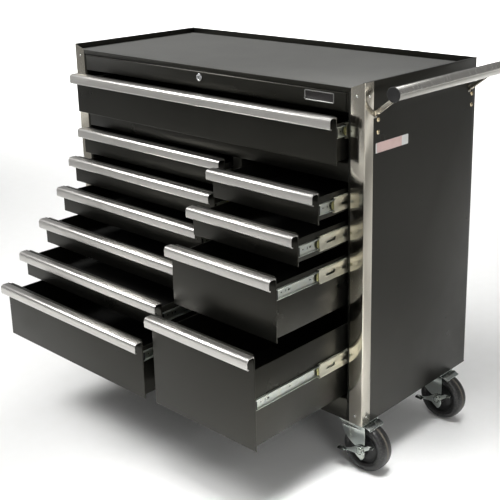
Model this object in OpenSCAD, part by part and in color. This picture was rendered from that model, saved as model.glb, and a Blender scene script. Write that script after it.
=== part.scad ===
// Rolling tool cabinet: a folded sheet steel body with one full width drawer over
// two columns of drawers, on two rigid and two braked swivel casters, with a push
// handle on its right side. Millimetres. The origin is on the floor under the
// centre of the body, +X to the right of someone facing the drawers, +Y to the back.

/* [Cabinet] */
// Width of the body, side to side
cab_w = 1067; // [1000:1:1200]
// Depth of the body, front to back
cab_d = 468; // [460:1:560]
// Thickness of the body's sheet steel
sheet = 1.2; // [0.8:0.1:1.6]
// Width of the folded channel down each side, which carries the slides
side_channel = 46.8; // [42:0.1:60]
// Width of the upright between the two columns of drawers
divider_w = 30.3; // [28:0.1:40]
// Width of the opening of the left column of drawers
left_opening = 596; // [500:1:640]
// Height of the rail under the lowest drawers
base_rail_h = 58; // [40:1:80]
// Height of the rail between the top drawer and the columns
mid_rail_h = 45.5; // [30:0.5:60]
// Height of the side rims above the foot of the lock rail
rim_over_rail = 73; // [70:1:90]
// Height of the rims at the sides and back above the tray's floor
rim_h = 19; // [12:1:30]

/* [Drawers] */
// Height taken by the shallowest drawer
pitch = 80; // [76:1:90]
// Height taken by the full width top drawer
top_drawer_h = 116.5; // [100:0.5:140]
// Depth of a drawer from its front face
drawer_d = 410; // [380:1:420]
// Gap around each drawer front
front_gap = 2; // [1.5:0.5:3]
// Thickness of a drawer's sheet steel
drawer_sheet = 1; // [0.8:0.1:1.2]
// Thickness of a drawer's double front
front_t = 10; // [8:0.5:11]
// Height of a drawer's bottom above the foot of its opening
drawer_floor = 7; // [6:0.5:9]

/* [How far the drawers stand open] */
// Full width top drawer
open_top = 41; // [0:1:400]
// Left column, first drawer from the top
open_left_1 = 28; // [0:1:400]
// Left column, second drawer
open_left_2 = 68; // [0:1:400]
// Left column, third drawer
open_left_3 = 118; // [0:1:400]
// Left column, fourth drawer
open_left_4 = 187; // [0:1:400]
// Left column, fifth drawer
open_left_5 = 261; // [0:1:400]
// Left column, sixth and deepest drawer
open_left_6 = 329; // [0:1:400]
// Right column, first drawer from the top
open_right_1 = 104; // [0:1:400]
// Right column, second drawer
open_right_2 = 175; // [0:1:400]
// Right column, third drawer
open_right_3 = 249; // [0:1:400]
// Right column, fourth and deepest drawer
open_right_4 = 323; // [0:1:400]

/* [Slides] */
// Room for one slide between the cabinet and the drawer
slide_w = 12.7; // [12.7:0.1:13]
// Length of each slide member
slide_len = 396; // [360:1:400]
// Height of the member on the cabinet
outer_h = 45; // [45:1:46]
// Height of the middle member
middle_h = 36; // [35:1:37]
// Height of the member on the drawer
inner_h = 25; // [20:1:27]

/* [Pulls] */
// How far a pull stands out from the drawer front
pull_out = 22.5; // [18:0.5:26]
// Height of a pull
pull_h = 27; // [24:0.5:32]
// Wall of a pull
pull_t = 1.5; // [1.2:0.1:2]

/* [Push handle] */
// Outer diameter of the handle tube
handle_d = 32; // [28:0.5:36]
// Length of the handle tube
handle_len = 468; // [430:1:500]
// Distance of the tube's axis from the side panel
handle_out = 74; // [60:1:90]
// Height of the tube's axis above the arm's root
handle_rise = 58; // [50:1:70]
// Distance between the two arms
arm_spacing = 399; // [360:1:420]

/* [Casters] */
// Wheel diameter
wheel_d = 127; // [120:1:127]
// Wheel width
wheel_w = 45; // [38:1:46]
// Height of the cabinet's underside above the floor
caster_h = 136.5; // [136.5:0.5:150]
// Distance of a swivel wheel's axle from its kingpin
trail = 36; // [34:1:38]
// Inset of the caster plates' centres from the cabinet's sides
caster_inset = 46; // [46:1:60]
// Distance of the front casters from the cabinet's front
caster_front = 38.5; // [38:0.5:60]
// Distance of the rear casters from the cabinet's front
caster_rear = 382; // [360:1:430]

/* [Hidden] */
hx = cab_w / 2;
hy = cab_d / 2;
base_z = caster_h;
rows = 7;
columns_top = base_rail_h + rows * pitch;
top_level = columns_top + mid_rail_h;
lock_rail_z = top_level + top_drawer_h + 2;
cab_h = lock_rail_z + rim_over_rail;
tray_z = cab_h - rim_h;
front_post = 30;
rear_post = 62;
base_fold = 20;
front_hem = 3;
inner_lead = 6;
rim_w = 6;
mat_t = 2.6;
tray_lip_h = 11;
divider_x = -hx + side_channel + left_opening;

trim_t = 1;
trim_front_w = 39;
trim_side_w = 31;
trim_slope = 14;
rivet_r = 1.6;
rivet_head_r = 3.2;
rivet_head_h = 1.4;
rivet_from_corner = [22, 16];
rivet_heights = [22, cab_h - 32];

lock_rail_h = 46;
pad_w = cab_w - 2 * 52;
pad_t = 3;
lock_z = lock_rail_z + 30;
plug_r = 6.5;
running = 0.05;

handle_z = base_z + 779 + handle_rise;
arm_foot_z = handle_z - handle_rise;
handle_y = 6;
arm_w = 15;
arm_t = 8;
screw_r = 2.5;
screw_head_r = 5.5;
screw_offset = 10;
screw_heights = [-44, -15];

plate_t = 3;
plate_x = 92;
plate_y = 63;
race_t = 1.9;
crown_t = 2.5;
kingpin_r = 6;
leg_in = 26.5;
leg_t = 3;
axle_r = 5;
axle_drop = caster_h - wheel_d / 2;
lever_t = 3;
lever_gap = 0.5;

// One row for each drawer: name, column (0 across both, 1 left, 2 right), foot of its
// opening above the underside, height of its opening, how far it stands open, and the
// share of that travel which the middle slide members have made.
left_units = [1, 1, 1, 1, 1, 2];
right_units = [1, 1, 2, 3];
left_open = [open_left_1, open_left_2, open_left_3, open_left_4, open_left_5, open_left_6];
right_open = [open_right_1, open_right_2, open_right_3, open_right_4];
right_share = [0.62, 0.67, 0.48, 0.37];
function total(v, n) = n < 0 ? 0 : v[n] + total(v, n - 1);
DRAWERS = concat(
    [["top", 0, top_level, top_drawer_h, open_top, 0.5]],
    [for (i = [0 : 5]) [str("left_", i + 1), 1, columns_top - pitch * total(left_units, i),
        pitch * left_units[i], left_open[i], 0.5]],
    [for (i = [0 : 3]) [str("right_", i + 1), 2, columns_top - pitch * total(right_units, i),
        pitch * right_units[i], right_open[i], right_share[i]]]);
LAST = len(DRAWERS) - 1;

// The opening's left and right edge for a column, and the room left under the drawer
// above: the walls of a deep drawer stop lower than those of a shallow one.
function edge_left(c) = c == 2 ? divider_x + divider_w : -hx + side_channel;
function edge_right(c) = c == 1 ? divider_x : hx - side_channel;
function wall_top(h) = lookup(h, [[80, 62], [116.5, 95], [160, 137], [240, 197]]);
function slide_z(h) = h <= pitch ? 34 : (h < 1.9 * pitch ? 76 : 114);

FIXED = ["side_panel_left", "side_panel_right", "back_panel", "base_pan", "centre_divider",
    "mid_rail", "lock_rail", "top_tray", "top_mat", "corner_trims", "trim_rivets",
    "cabinet_slide_members", "handle_tube", "handle_end_caps", "handle_brackets",
    "handle_screws", "rigid_caster_forks", "swivel_caster_plates"];
MOVING = ["lock_plug", "swivel_fork_front", "swivel_fork_rear", "wheel_left_front",
    "wheel_left_rear", "wheel_right_front", "wheel_right_rear", "brake_lever_front",
    "brake_lever_rear"];

BLACK = [0.13, 0.13, 0.12];
GREY = [0.45, 0.45, 0.44];
STAINLESS = [0.75, 0.74, 0.7];
ZINC = [0.7, 0.72, 0.68];
PULL = [0.8, 0.79, 0.77];
PLASTIC = [0.06, 0.06, 0.06];
TYRE = [0.16, 0.16, 0.17];
BRASS = [0.78, 0.66, 0.42];

// A box from its low corner to its high corner.
module span(a, b) {
    translate(a) cube(b - a);
}

// ---- Body -------------------------------------------------------------------------

// Plan of the right side panel: outer wall with a front and a rear post folded in.
module side_plan() {
    inner = hx - side_channel;
    rear = hy - sheet;
    translate([hx - sheet, -hy]) square([sheet, cab_d - sheet]);
    translate([inner, -hy]) square([side_channel, sheet]);
    translate([inner, -hy]) square([sheet, front_post]);
    translate([inner, rear - sheet]) square([side_channel, sheet]);
    translate([inner, rear - rear_post]) square([sheet, rear_post]);
}

// The wall goes up to the rim; its posts stop under the tray.
module side_sheet() {
    difference() {
        translate([0, 0, base_z + 2]) linear_extrude(cab_h - sheet - 2) side_plan();
        span([0, -hy - 1, base_z + tray_z], [hx - sheet, hy, base_z + cab_h]);
        for (z = rivet_heights) {
            translate([hx - rivet_from_corner[0], -hy - 1, base_z + z]) rotate([-90, 0, 0])
                cylinder(r = rivet_r, h = sheet + 2, $fn = 24);
            translate([hx - sheet - 1, -hy + rivet_from_corner[1], base_z + z])
                rotate([0, 90, 0]) cylinder(r = rivet_r, h = sheet + 2, $fn = 24);
        }
    }
}

module side_panel_left() {
    color(BLACK) mirror([1, 0, 0]) side_sheet();
}

// The right panel also has a slot for each handle arm and holes for its screws.
module side_panel_right() {
    color(BLACK) difference() {
        side_sheet();
        for (y = [-1, 1] * arm_spacing / 2) translate([0, handle_y + y, arm_foot_z]) {
            span([hx - sheet - 1, -arm_w / 2 - 1, -10], [hx + 1, arm_w / 2 + 1, 8]);
            for (z = screw_heights) translate([hx - sheet - 1, screw_offset, z])
                rotate([0, 90, 0]) cylinder(r = screw_r, h = sheet + 2, $fn = 24);
        }
    }
}

module back_panel() {
    color(BLACK)
        span([-hx + sheet, hy - sheet, base_z + 2], [hx - sheet, hy, base_z + cab_h - sheet]);
}

// Floor of the body, with the rail under the lowest drawers folded up at its front.
module base_pan() {
    x = hx - side_channel;
    color(BLACK) {
        span([-hx, -hy, base_z], [hx, hy, base_z + 2]);
        span([-x, -hy, base_z], [x, -hy + sheet, base_z + base_rail_h]);
        span([-x, -hy, base_z + base_rail_h - sheet], [x, -hy + base_fold, base_z + base_rail_h]);
    }
}

// Upright between the columns: a deep channel, open at the back, that stands on the
// base pan behind its front rail.
module centre_divider() {
    z0 = base_z + base_rail_h;
    z1 = base_z + columns_top;
    x1 = divider_x + divider_w;
    yb = hy - 2 * sheet;
    color(BLACK) {
        span([divider_x, -hy, z0], [x1, -hy + sheet, z1]);
        for (x = [divider_x, x1 - sheet]) {
            span([x, -hy, z0], [x + sheet, yb, z1]);
            span([x, -hy + base_fold + 1, base_z + 2], [x + sheet, yb, z0 + 1]);
        }
    }
}

// Channel across the body between the top drawer and the columns.
module mid_rail() {
    x = hx - side_channel;
    z0 = base_z + columns_top;
    z1 = z0 + mid_rail_h;
    color(BLACK) {
        span([-x, -hy, z0], [x, -hy + sheet, z1]);
        span([-x, -hy, z0], [x, -hy + front_post, z0 + sheet]);
        span([-x, -hy, z1 - sheet], [x, -hy + front_post, z1]);
    }
}

// Channel above the top drawer, with a raised face and the bore of the lock.
module lock_rail() {
    x = hx - side_channel;
    z0 = base_z + lock_rail_z;
    z1 = z0 + lock_rail_h;
    color(BLACK) difference() {
        union() {
            span([-x, -hy, z0], [x, -hy + sheet, z1]);
            span([-x, -hy, z0], [x, -hy + front_post, z0 + sheet]);
            span([-x, -hy, z1 - sheet], [x, -hy + front_post, z1]);
            span([-pad_w / 2, -hy - pad_t, z0 + 1], [pad_w / 2, -hy, z1 - 1]);
        }
        translate([0, -hy - pad_t - 1, base_z + lock_z]) rotate([-90, 0, 0])
            cylinder(r = plug_r + running, h = pad_t + sheet + 2, $fn = 48);
    }
}

// Plug of the lock with the cam that its key turns behind the rail.
module lock_plug() {
    color(ZINC) translate([0, -hy, base_z + lock_z]) {
        translate([0, -pad_t - 5, 0]) rotate([-90, 0, 0])
            cylinder(r = plug_r, h = pad_t + 23, $fn = 48);
        span([-6, 15, -22], [6, 18, 0]);
    }
}

// Shallow tray that closes the body, with hemmed rims over the sides and the back.
module top_tray() {
    z0 = base_z + tray_z;
    z1 = base_z + cab_h;
    in_x = hx - rim_w;
    in_y = hy - rim_w;
    lip_x = hx - trim_front_w - 0.5;
    color(BLACK) {
        span([-in_x - sheet, -hy, z0], [in_x + sheet, in_y + sheet, z0 + sheet]);
        for (s = [-1, 1]) {
            span([s > 0 ? in_x : -in_x - sheet, -hy, z0],
                [s > 0 ? in_x + sheet : -in_x, in_y + sheet, z1]);
            span([s > 0 ? in_x : -hx, -hy, z1 - sheet],
                [s > 0 ? hx : -in_x, hy, z1]);
        }
        span([-in_x, in_y, z0], [in_x, in_y + sheet, z1]);
        span([-in_x, in_y, z1 - sheet], [in_x, hy, z1]);
        span([-lip_x, -hy - 1, z0 + mat_t + sheet - tray_lip_h], [lip_x, -hy, z0 + mat_t + sheet]);
    }
}

module top_mat() {
    z0 = base_z + tray_z + sheet;
    x = hx - rim_w - 0.5;
    color(GREY) span([-x, -hy + 1, z0], [x, hy - rim_w - 0.5, z0 + mat_t]);
}

// Stainless angle over each front corner; the top of its front leaf is cut at a slope.
module corner_trim() {
    difference() {
        union() {
            translate([0, -hy, 0]) rotate([90, 0, 0]) linear_extrude(trim_t)
                polygon([[hx - trim_front_w, base_z], [hx + trim_t, base_z],
                    [hx + trim_t, base_z + cab_h], [hx - 4, base_z + cab_h],
                    [hx - trim_front_w, base_z + cab_h - trim_slope]]);
            span([hx, -hy - trim_t, base_z], [hx + trim_t, -hy + trim_side_w, base_z + cab_h]);
        }
        for (z = rivet_heights) {
            translate([hx - rivet_from_corner[0], -hy - 2, base_z + z]) rotate([-90, 0, 0])
                cylinder(r = rivet_r, h = 4, $fn = 24);
            translate([hx - 1, -hy + rivet_from_corner[1], base_z + z]) rotate([0, 90, 0])
                cylinder(r = rivet_r, h = 4, $fn = 24);
        }
    }
}

module corner_trims() {
    color(STAINLESS) for (s = [0, 1]) mirror([s, 0, 0]) corner_trim();
}

// Blind rivet along +Z, with the underside of its domed head at z = 0.
module rivet() {
    translate([0, 0, -trim_t - sheet - 1]) cylinder(r = rivet_r, h = trim_t + sheet + 2, $fn = 24);
    intersection() {
        translate([0, 0, -2.5]) sphere(r = 2.5 + rivet_head_h, $fn = 32);
        cylinder(r = rivet_head_r, h = 3, $fn = 32);
    }
}

module trim_rivets() {
    color(STAINLESS) for (s = [0, 1]) mirror([s, 0, 0]) for (z = rivet_heights) {
        translate([hx - rivet_from_corner[0], -hy - trim_t, base_z + z]) rotate([90, 0, 0]) rivet();
        translate([hx + trim_t, -hy + rivet_from_corner[1], base_z + z]) rotate([0, 90, 0]) rivet();
    }
}

// ---- Slides -----------------------------------------------------------------------

// A channel section of a slide along +Y: its web stands at x = a and its flanges
// reach x = b.
module slide_channel(a, b, h, y, len) {
    s = b > a ? 1 : -1;
    for (r = [[min(a, a + s * 1.2), -h / 2, 1.2, h], [min(a, b), h / 2 - 1.2, abs(b - a), 1.2],
        [min(a, b), -h / 2, abs(b - a), 1.2]])
        translate([r[0], y, r[1]]) cube([r[2], len, r[3]]);
}

// Runs its children at both sides of a drawer, at the height of its slides, with +X
// from the cabinet towards the drawer.
module at_slides(d) {
    for (e = [[edge_left(d[1]), 0], [edge_right(d[1]), 1]])
        translate([e[0], -hy + 12, base_z + d[2] + slide_z(d[3])]) mirror([e[1], 0, 0]) children();
}

module cabinet_slide_members() {
    color(ZINC) for (d = DRAWERS) at_slides(d)
        slide_channel(0, 9.5, outer_h, 0, slide_len);
}

module middle_slides(d) {
    color(ZINC) translate([0, -d[4] * d[5], 0]) at_slides(d)
        slide_channel(3.2, 11, middle_h, 0, slide_len - 16);
}

// ---- Drawers ----------------------------------------------------------------------

// A drawer: a front with hemmed edges, doubled between the walls and open at its foot,
// low walls, a floor, and the slide member riveted to each wall.
module drawer(d) {
    t = drawer_sheet;
    xa = edge_left(d[1]) + front_gap;
    xb = edge_right(d[1]) - front_gap;
    wa = edge_left(d[1]) + slide_w;
    wb = edge_right(d[1]) - slide_w;
    y0 = -hy - d[4];
    yb = y0 + drawer_d;
    z0 = base_z + d[2] + front_gap;
    z1 = base_z + d[2] + d[3] - front_gap;
    fz = base_z + d[2] + drawer_floor;
    wz = base_z + d[2] + wall_top(d[3]);
    color(BLACK) {
        span([xa, y0, z0], [xb, y0 + sheet, z1]);
        span([xa, y0, z1 - t], [xb, y0 + front_hem, z1]);
        for (x = [xa, xb - t]) span([x, y0, z0], [x + t, y0 + front_hem, z1]);
        span([wa, y0, z1 - t], [wb, y0 + front_t, z1]);
        span([wa, y0 + front_t - t, fz], [wb, y0 + front_t, z1]);
        span([wa, y0 + front_t - t, fz], [wb, yb, fz + t]);
        for (x = [wa, wb - t]) {
            span([x, y0, fz], [x + t, y0 + front_t, z1]);
            span([x, y0 + front_t - t, fz], [x + t, yb, wz]);
        }
        span([wa, yb - t, fz], [wb, yb, wz]);
    }
    color(ZINC) translate([0, -d[4], 0]) at_slides(d)
        slide_channel(slide_w, 6, inner_h, -inner_lead, slide_len);
}

// Section of a pull in its depth and height: a leaf on the front, a flat top and a
// rounded nose turned under, open below for the fingers.
module pull_section() {
    nose = 9;
    lip = 5;
    leaf = 4;
    difference() {
        union() {
            translate([-pull_out + nose, -nose]) circle(r = nose, $fn = 48);
            translate([-pull_out + lip, -pull_h + lip]) circle(r = lip, $fn = 32);
            translate([-pull_out, -pull_h + lip]) square([2 * lip, pull_h - lip - nose]);
            translate([-pull_out + nose, -nose - 5]) square([pull_out - nose, nose + 5]);
        }
        translate([-pull_out + nose, -nose]) circle(r = nose - pull_t, $fn = 48);
        translate([-pull_out + lip, -pull_h + lip]) circle(r = lip - pull_t, $fn = 32);
        translate([-pull_out + pull_t, -pull_h + lip])
            square([pull_out - 2 * pull_t, pull_h - lip - nose]);
        translate([-pull_out + nose, -nose - 6])
            square([pull_out - nose - pull_t, nose + 6 - pull_t]);
        translate([-pull_out + lip + 1, -pull_h - 1]) square([pull_out, pull_h - nose - 4]);
        translate([-2 * pull_t, -nose - 6]) square([3 * pull_t, nose + 6 - leaf]);
    }
}

module pull(d) {
    xa = edge_left(d[1]) + front_gap;
    xb = edge_right(d[1]) - front_gap;
    color(PULL) translate([xa, -hy - d[4], base_z + d[2] + d[3] - front_gap])
        rotate([90, 0, 90]) linear_extrude(xb - xa) pull_section();
}

// ---- Push handle ------------------------------------------------------------------

module handle_tube() {
    color(STAINLESS) translate([hx + handle_out, handle_y - handle_len / 2, handle_z])
        rotate([-90, 0, 0]) difference() {
            cylinder(d = handle_d, h = handle_len, $fn = 64);
            translate([0, 0, -1]) cylinder(d = handle_d - 3, h = handle_len + 2, $fn = 64);
        }
}

module handle_end_caps() {
    color(PLASTIC) for (s = [-1, 1])
        translate([hx + handle_out, handle_y + s * handle_len / 2, handle_z])
            rotate([-s * 90, 0, 0]) {
                cylinder(d = handle_d + 3, h = 3, $fn = 64);
                translate([0, 0, -12]) cylinder(d = handle_d - 3, h = 12.5, $fn = 64);
            }
}

// A bracket: a plate screwed inside the side panel, and an arm that comes out through
// the panel's slot and rises, hollow underneath, to a seat under the tube.
module handle_bracket() {
    rise = atan2(handle_rise, handle_out);
    reach = norm([handle_out, handle_rise]);
    root = -sheet - 3;
    half = arm_t / 2 / cos(rise);
    difference() {
        union() {
            span([hx - sheet - 2.5, -arm_w / 2, -56], [hx - sheet, arm_w / 2 + 16, 10]);
            translate([hx, arm_w / 2, 0]) rotate([90, 0, 0]) linear_extrude(arm_w)
                polygon([[root, root * tan(rise) - half],
                    [handle_out, handle_rise - half],
                    [handle_out, handle_rise + half],
                    [root, root * tan(rise) + half]]);
        }
        translate([hx, 0, 0]) rotate([0, -rise, 0])
            span([6, -arm_w / 2 + 2, -arm_t], [reach - 22, arm_w / 2 - 2, arm_t / 2 - 2]);
        translate([hx + handle_out, -arm_w, handle_rise]) rotate([-90, 0, 0])
            cylinder(d = handle_d, h = 2 * arm_w, $fn = 64);
        for (z = screw_heights) translate([hx - 10, screw_offset, z]) rotate([0, 90, 0])
            cylinder(r = screw_r, h = 20, $fn = 24);
    }
}

module handle_brackets() {
    color(STAINLESS) for (y = [-1, 1] * arm_spacing / 2)
        translate([0, handle_y + y, arm_foot_z]) handle_bracket();
}

module handle_screws() {
    color(BRASS) for (y = [-1, 1] * arm_spacing / 2, z = screw_heights)
        translate([hx, handle_y + y + screw_offset, arm_foot_z + z]) rotate([0, 90, 0]) {
            translate([0, 0, -8]) cylinder(r = screw_r, h = 8.5, $fn = 24);
            intersection() {
                translate([0, 0, -4]) sphere(r = 7, $fn = 40);
                cylinder(r = screw_head_r, h = 4, $fn = 40);
            }
        }
}

// ---- Casters ----------------------------------------------------------------------
// Each is drawn about its kingpin, with z = 0 at the cabinet's underside.

module at_caster(side, row) {
    translate([side * (hx - caster_inset), -hy + (row == 0 ? caster_front : caster_rear), base_z])
        children();
}

module caster_plate() {
    span([-plate_x / 2, -plate_y / 2, -plate_t], [plate_x / 2, plate_y / 2, 0]);
}

// Outline of one leg in X and Z, about the wheel's axle.
module leg_outline(top, back) {
    hull() {
        circle(r = 12, $fn = 32);
        translate([-22, 6]) circle(r = 1, $fn = 16);
        translate([12, 28]) circle(r = 0.1, $fn = 16);
        translate([-44, 30]) circle(r = 1, $fn = 16);
    }
    polygon([[-45, 30], [12, 27], [13, top], [-back, top]]);
}

module legs(top, back) {
    for (y = [-leg_in - leg_t, leg_in]) translate([0, y + leg_t, 0])
        rotate([90, 0, 0]) linear_extrude(leg_t) leg_outline(top, back);
}

// Axle bolt through both legs, long enough on its outer side for the brake lever.
module axle_bolt(outer) {
    rotate([90, 0, 0]) {
        translate([0, 0, -leg_in - leg_t - 2])
            cylinder(r = axle_r, h = 2 * (leg_in + leg_t) + 2 + outer, $fn = 32);
        translate([0, 0, leg_in + leg_t + outer]) cylinder(r = 8, h = 4, $fn = 6);
        translate([0, 0, -leg_in - leg_t - 5]) cylinder(r = 8, h = 5, $fn = 6);
    }
}

module rigid_caster_forks() {
    color(ZINC) for (row = [0, 1]) at_caster(-1, row) {
        caster_plate();
        translate([0, 0, -axle_drop]) {
            legs(axle_drop - plate_t, 44);
            axle_bolt(0);
        }
    }
}

// Plate with the upper race and the kingpin that holds the fork.
module swivel_caster_plates() {
    color(ZINC) for (row = [0, 1]) at_caster(1, row) {
        caster_plate();
        translate([0, 0, -plate_t - race_t]) difference() {
            cylinder(r = 26, h = race_t, $fn = 64);
            translate([0, 0, -1]) cylinder(r = 16, h = race_t + 2, $fn = 48);
        }
        translate([0, 0, -11]) cylinder(r = kingpin_r, h = 11 - plate_t, $fn = 48);
        translate([0, 0, -11]) cylinder(r = 9, h = 3.3, $fn = 48);
    }
}

// Fork: crown on the kingpin, a skirt sloped over the wheel, two legs and the axle.
module swivel_fork(row) {
    top = -plate_t - race_t - 0.1;
    half = leg_in + leg_t;
    color(ZINC) at_caster(1, row) difference() {
        union() {
            span([-36, -half, top - crown_t], [50, half, top]);
            translate([0, half, 0]) rotate([90, 0, 0]) linear_extrude(2 * half)
                polygon([[50, top], [65, top - 7], [65, top - 9.2], [50, top - crown_t]]);
            translate([trail, 0, -axle_drop]) {
                legs(axle_drop + top - crown_t / 2, trail + 18);
                axle_bolt(lever_gap + lever_t + 0.5);
            }
        }
        translate([0, 0, top - crown_t - 1])
            cylinder(r = kingpin_r + running, h = crown_t + 2, $fn = 48);
    }
}

// Tread, web and hub in one turned section, bored for the axle.
module wheel(x, row) {
    r = wheel_d / 2;
    w = wheel_w / 2;
    round_r = 8;
    color(TYRE) translate([x, -hy + (row == 0 ? caster_front : caster_rear), base_z - axle_drop])
        rotate([90, 0, 0]) rotate_extrude($fn = 96) {
            translate([44, -w]) square([r - round_r - 44, 2 * w]);
            translate([44, -w + round_r]) square([r - 44, 2 * (w - round_r)]);
            for (s = [-1, 1]) translate([r - round_r, s * (w - round_r)])
                circle(r = round_r, $fn = 40);
            translate([15, -9]) square([32, 18]);
            translate([axle_r + running, -leg_in + 1.5]) square([13, 2 * leg_in - 3]);
        }
}

// Stamped rocker on the axle: a long pad to press down, a short one to release, and
// the nose that jams the tread.
module brake_lever(row) {
    y0 = -leg_in - leg_t - lever_gap;
    color(ZINC) at_caster(1, row) translate([trail, y0, -axle_drop]) {
        rotate([90, 0, 0]) linear_extrude(lever_t) difference() {
            union() {
                circle(r = 14, $fn = 48);
                polygon([[-50, -9], [-50, -15], [-12, -14], [4, -26], [12, -18], [10, 6],
                    [36, 20], [34, 24], [2, 13], [-14, 4]]);
            }
            circle(r = axle_r + running, $fn = 48);
        }
        span([-66, -lever_t - 10, -15], [-46, -lever_t + 3, -12]);
        translate([38, 0, 21.5]) rotate([0, -12, 0])
            span([-5, -lever_t - 8, -1.5], [7, 0, 1.5]);
    }
}

// ---- Assembly ---------------------------------------------------------------------

side_panel_left();
side_panel_right();
back_panel();
base_pan();
centre_divider();
mid_rail();
lock_rail();
top_tray();
top_mat();
corner_trims();
trim_rivets();
cabinet_slide_members();
handle_tube();
handle_end_caps();
handle_brackets();
handle_screws();
rigid_caster_forks();
swivel_caster_plates();
lock_plug();
swivel_fork(0);  // swivel_fork_front
swivel_fork(1);  // swivel_fork_rear
wheel(-hx + caster_inset, 0);  // wheel_left_front
wheel(-hx + caster_inset, 1);  // wheel_left_rear
wheel(hx - caster_inset + trail, 0);  // wheel_right_front
wheel(hx - caster_inset + trail, 1);  // wheel_right_rear
brake_lever(0);  // brake_lever_front
brake_lever(1);  // brake_lever_rear
for (i = [0 : LAST]) {
    drawer(DRAWERS[i]);
    pull(DRAWERS[i]);
    middle_slides(DRAWERS[i]);
}
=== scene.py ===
import math

import bmesh
import bpy
from mathutils import Matrix, Vector


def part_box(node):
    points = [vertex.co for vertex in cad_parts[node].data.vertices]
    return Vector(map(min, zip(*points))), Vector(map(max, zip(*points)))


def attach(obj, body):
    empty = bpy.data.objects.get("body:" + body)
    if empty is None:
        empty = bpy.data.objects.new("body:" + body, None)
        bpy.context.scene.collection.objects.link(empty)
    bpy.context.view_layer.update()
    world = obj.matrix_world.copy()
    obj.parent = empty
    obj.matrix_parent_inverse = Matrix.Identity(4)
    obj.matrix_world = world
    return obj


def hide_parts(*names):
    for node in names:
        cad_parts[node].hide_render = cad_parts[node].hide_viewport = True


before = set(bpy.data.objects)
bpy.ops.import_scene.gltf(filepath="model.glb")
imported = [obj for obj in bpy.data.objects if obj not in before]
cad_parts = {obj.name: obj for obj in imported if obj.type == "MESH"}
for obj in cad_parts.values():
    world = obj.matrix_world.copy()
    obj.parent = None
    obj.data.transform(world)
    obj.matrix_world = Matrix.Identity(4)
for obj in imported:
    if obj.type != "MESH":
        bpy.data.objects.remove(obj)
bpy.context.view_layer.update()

# ---- Camera -----------------------------------------------------------------------
# A long lens on a stand in front of the right corner, a little above the tray, turned
# a degree off level. It looks at the whole cabinet with its drawers drawn out in steps.
AZIMUTH, ELEVATION, ROLL = (math.radians(angle) for angle in (42.784, 16.625, -0.972))
lens = bpy.data.cameras.new("camera")
lens.lens = 68.85
lens.sensor_width = 36
lens.shift_x = -0.055
lens.shift_y = -0.12
lens.clip_end = 60
camera = bpy.data.objects.new("camera", lens)
bpy.context.scene.collection.objects.link(camera)
away = Vector((math.sin(AZIMUTH) * math.cos(ELEVATION),
               -math.cos(AZIMUTH) * math.cos(ELEVATION), math.sin(ELEVATION)))
across = Vector((math.cos(AZIMUTH), math.sin(AZIMUTH), 0))
upward = away.cross(across)
right_way = math.cos(ROLL) * across + math.sin(ROLL) * upward
up_way = math.cos(ROLL) * upward - math.sin(ROLL) * across
camera.matrix_world = (Matrix.Translation((1.8074, -1.9013, 1.3727))
                       @ Matrix((right_way, up_way, away)).transposed().to_4x4())
bpy.context.scene.camera = camera
bpy.context.scene.view_settings.view_transform = "Standard"

# ---- Studio -----------------------------------------------------------------------
# A pale floor of matt board in a dim white room, its back wall lit white. One soft box
# hangs over the left shoulder, one stands at the right and one hangs above; two more
# light the floor behind the cabinet and to its right, and four the floor farther out.
world = bpy.data.worlds.new("white_room")
world.use_nodes = True
room = world.node_tree.nodes
room["Background"].inputs["Color"].default_value = (1, 1, 1, 1)
room["Background"].inputs["Strength"].default_value = 0.24
wall = room.new("ShaderNodeBackground")
wall.inputs["Color"].default_value = (1, 1, 1, 1)
wall.inputs["Strength"].default_value = 1.0
seen = room.new("ShaderNodeLightPath")
either = room.new("ShaderNodeMixShader")
world.node_tree.links.new(seen.outputs["Is Camera Ray"], either.inputs[0])
world.node_tree.links.new(room["Background"].outputs[0], either.inputs[1])
world.node_tree.links.new(wall.outputs[0], either.inputs[2])
world.node_tree.links.new(either.outputs[0], room["World Output"].inputs["Surface"])
bpy.context.scene.world = world

for name, place, aim, size, power, spread in (
        ("soft_box_left", (-2.4, -1.6, 3.3), (0, -0.3, 0.5), (2.0, 1.6), 33, 80),
        ("soft_box_right", (3.4, -1.6, 1.9), (0.4, 0, 0.5), (1.2, 2.4), 8, 90),
        ("floor_light_back", (-4.0, 5.5, 5.0), (-4.0, 5.0, 0), (7, 6), 420, 90),
        ("floor_light_right", (0.9, -0.6, 2.6), (0.9, -0.6, 0), (0.8, 0.8), 7, 40),
        ("soft_box_above", (0.6, 0.2, 3.2), (0.2, 0, 0.5), (2.4, 1.8), 6, 100),
        ("far_floor_back", (0, 20.5, 8), (0, 20.5, 0), (60, 23), 4600, 60),
        ("far_floor_front", (0, -20.5, 8), (0, -20.5, 0), (60, 23), 4600, 60),
        ("far_floor_left", (-20.5, 0, 8), (-20.5, 0, 0), (23, 18), 1400, 60),
        ("far_floor_right", (20.5, 0, 8), (20.5, 0, 0), (23, 18), 1400, 60)):
    lamp = bpy.data.lights.new(name, "AREA")
    lamp.shape = "RECTANGLE"
    lamp.size, lamp.size_y = size
    lamp.energy = power
    lamp.spread = math.radians(spread)
    box = bpy.data.objects.new(name, lamp)
    facing = (Vector(place) - Vector(aim)).to_track_quat("Z", "Y").to_matrix().to_4x4()
    box.matrix_world = Matrix.Translation(place) @ facing
    bpy.context.scene.collection.objects.link(box)


def linear(sheen):
    """Turns an sRGB hex colour into the linear colour that a shader takes."""
    parts = [int(sheen[i:i + 2], 16) / 255 for i in (1, 3, 5)]
    return [c / 12.92 if c <= 0.04045 else ((c + 0.055) / 1.055) ** 2.4 for c in parts] + [1]


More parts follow.
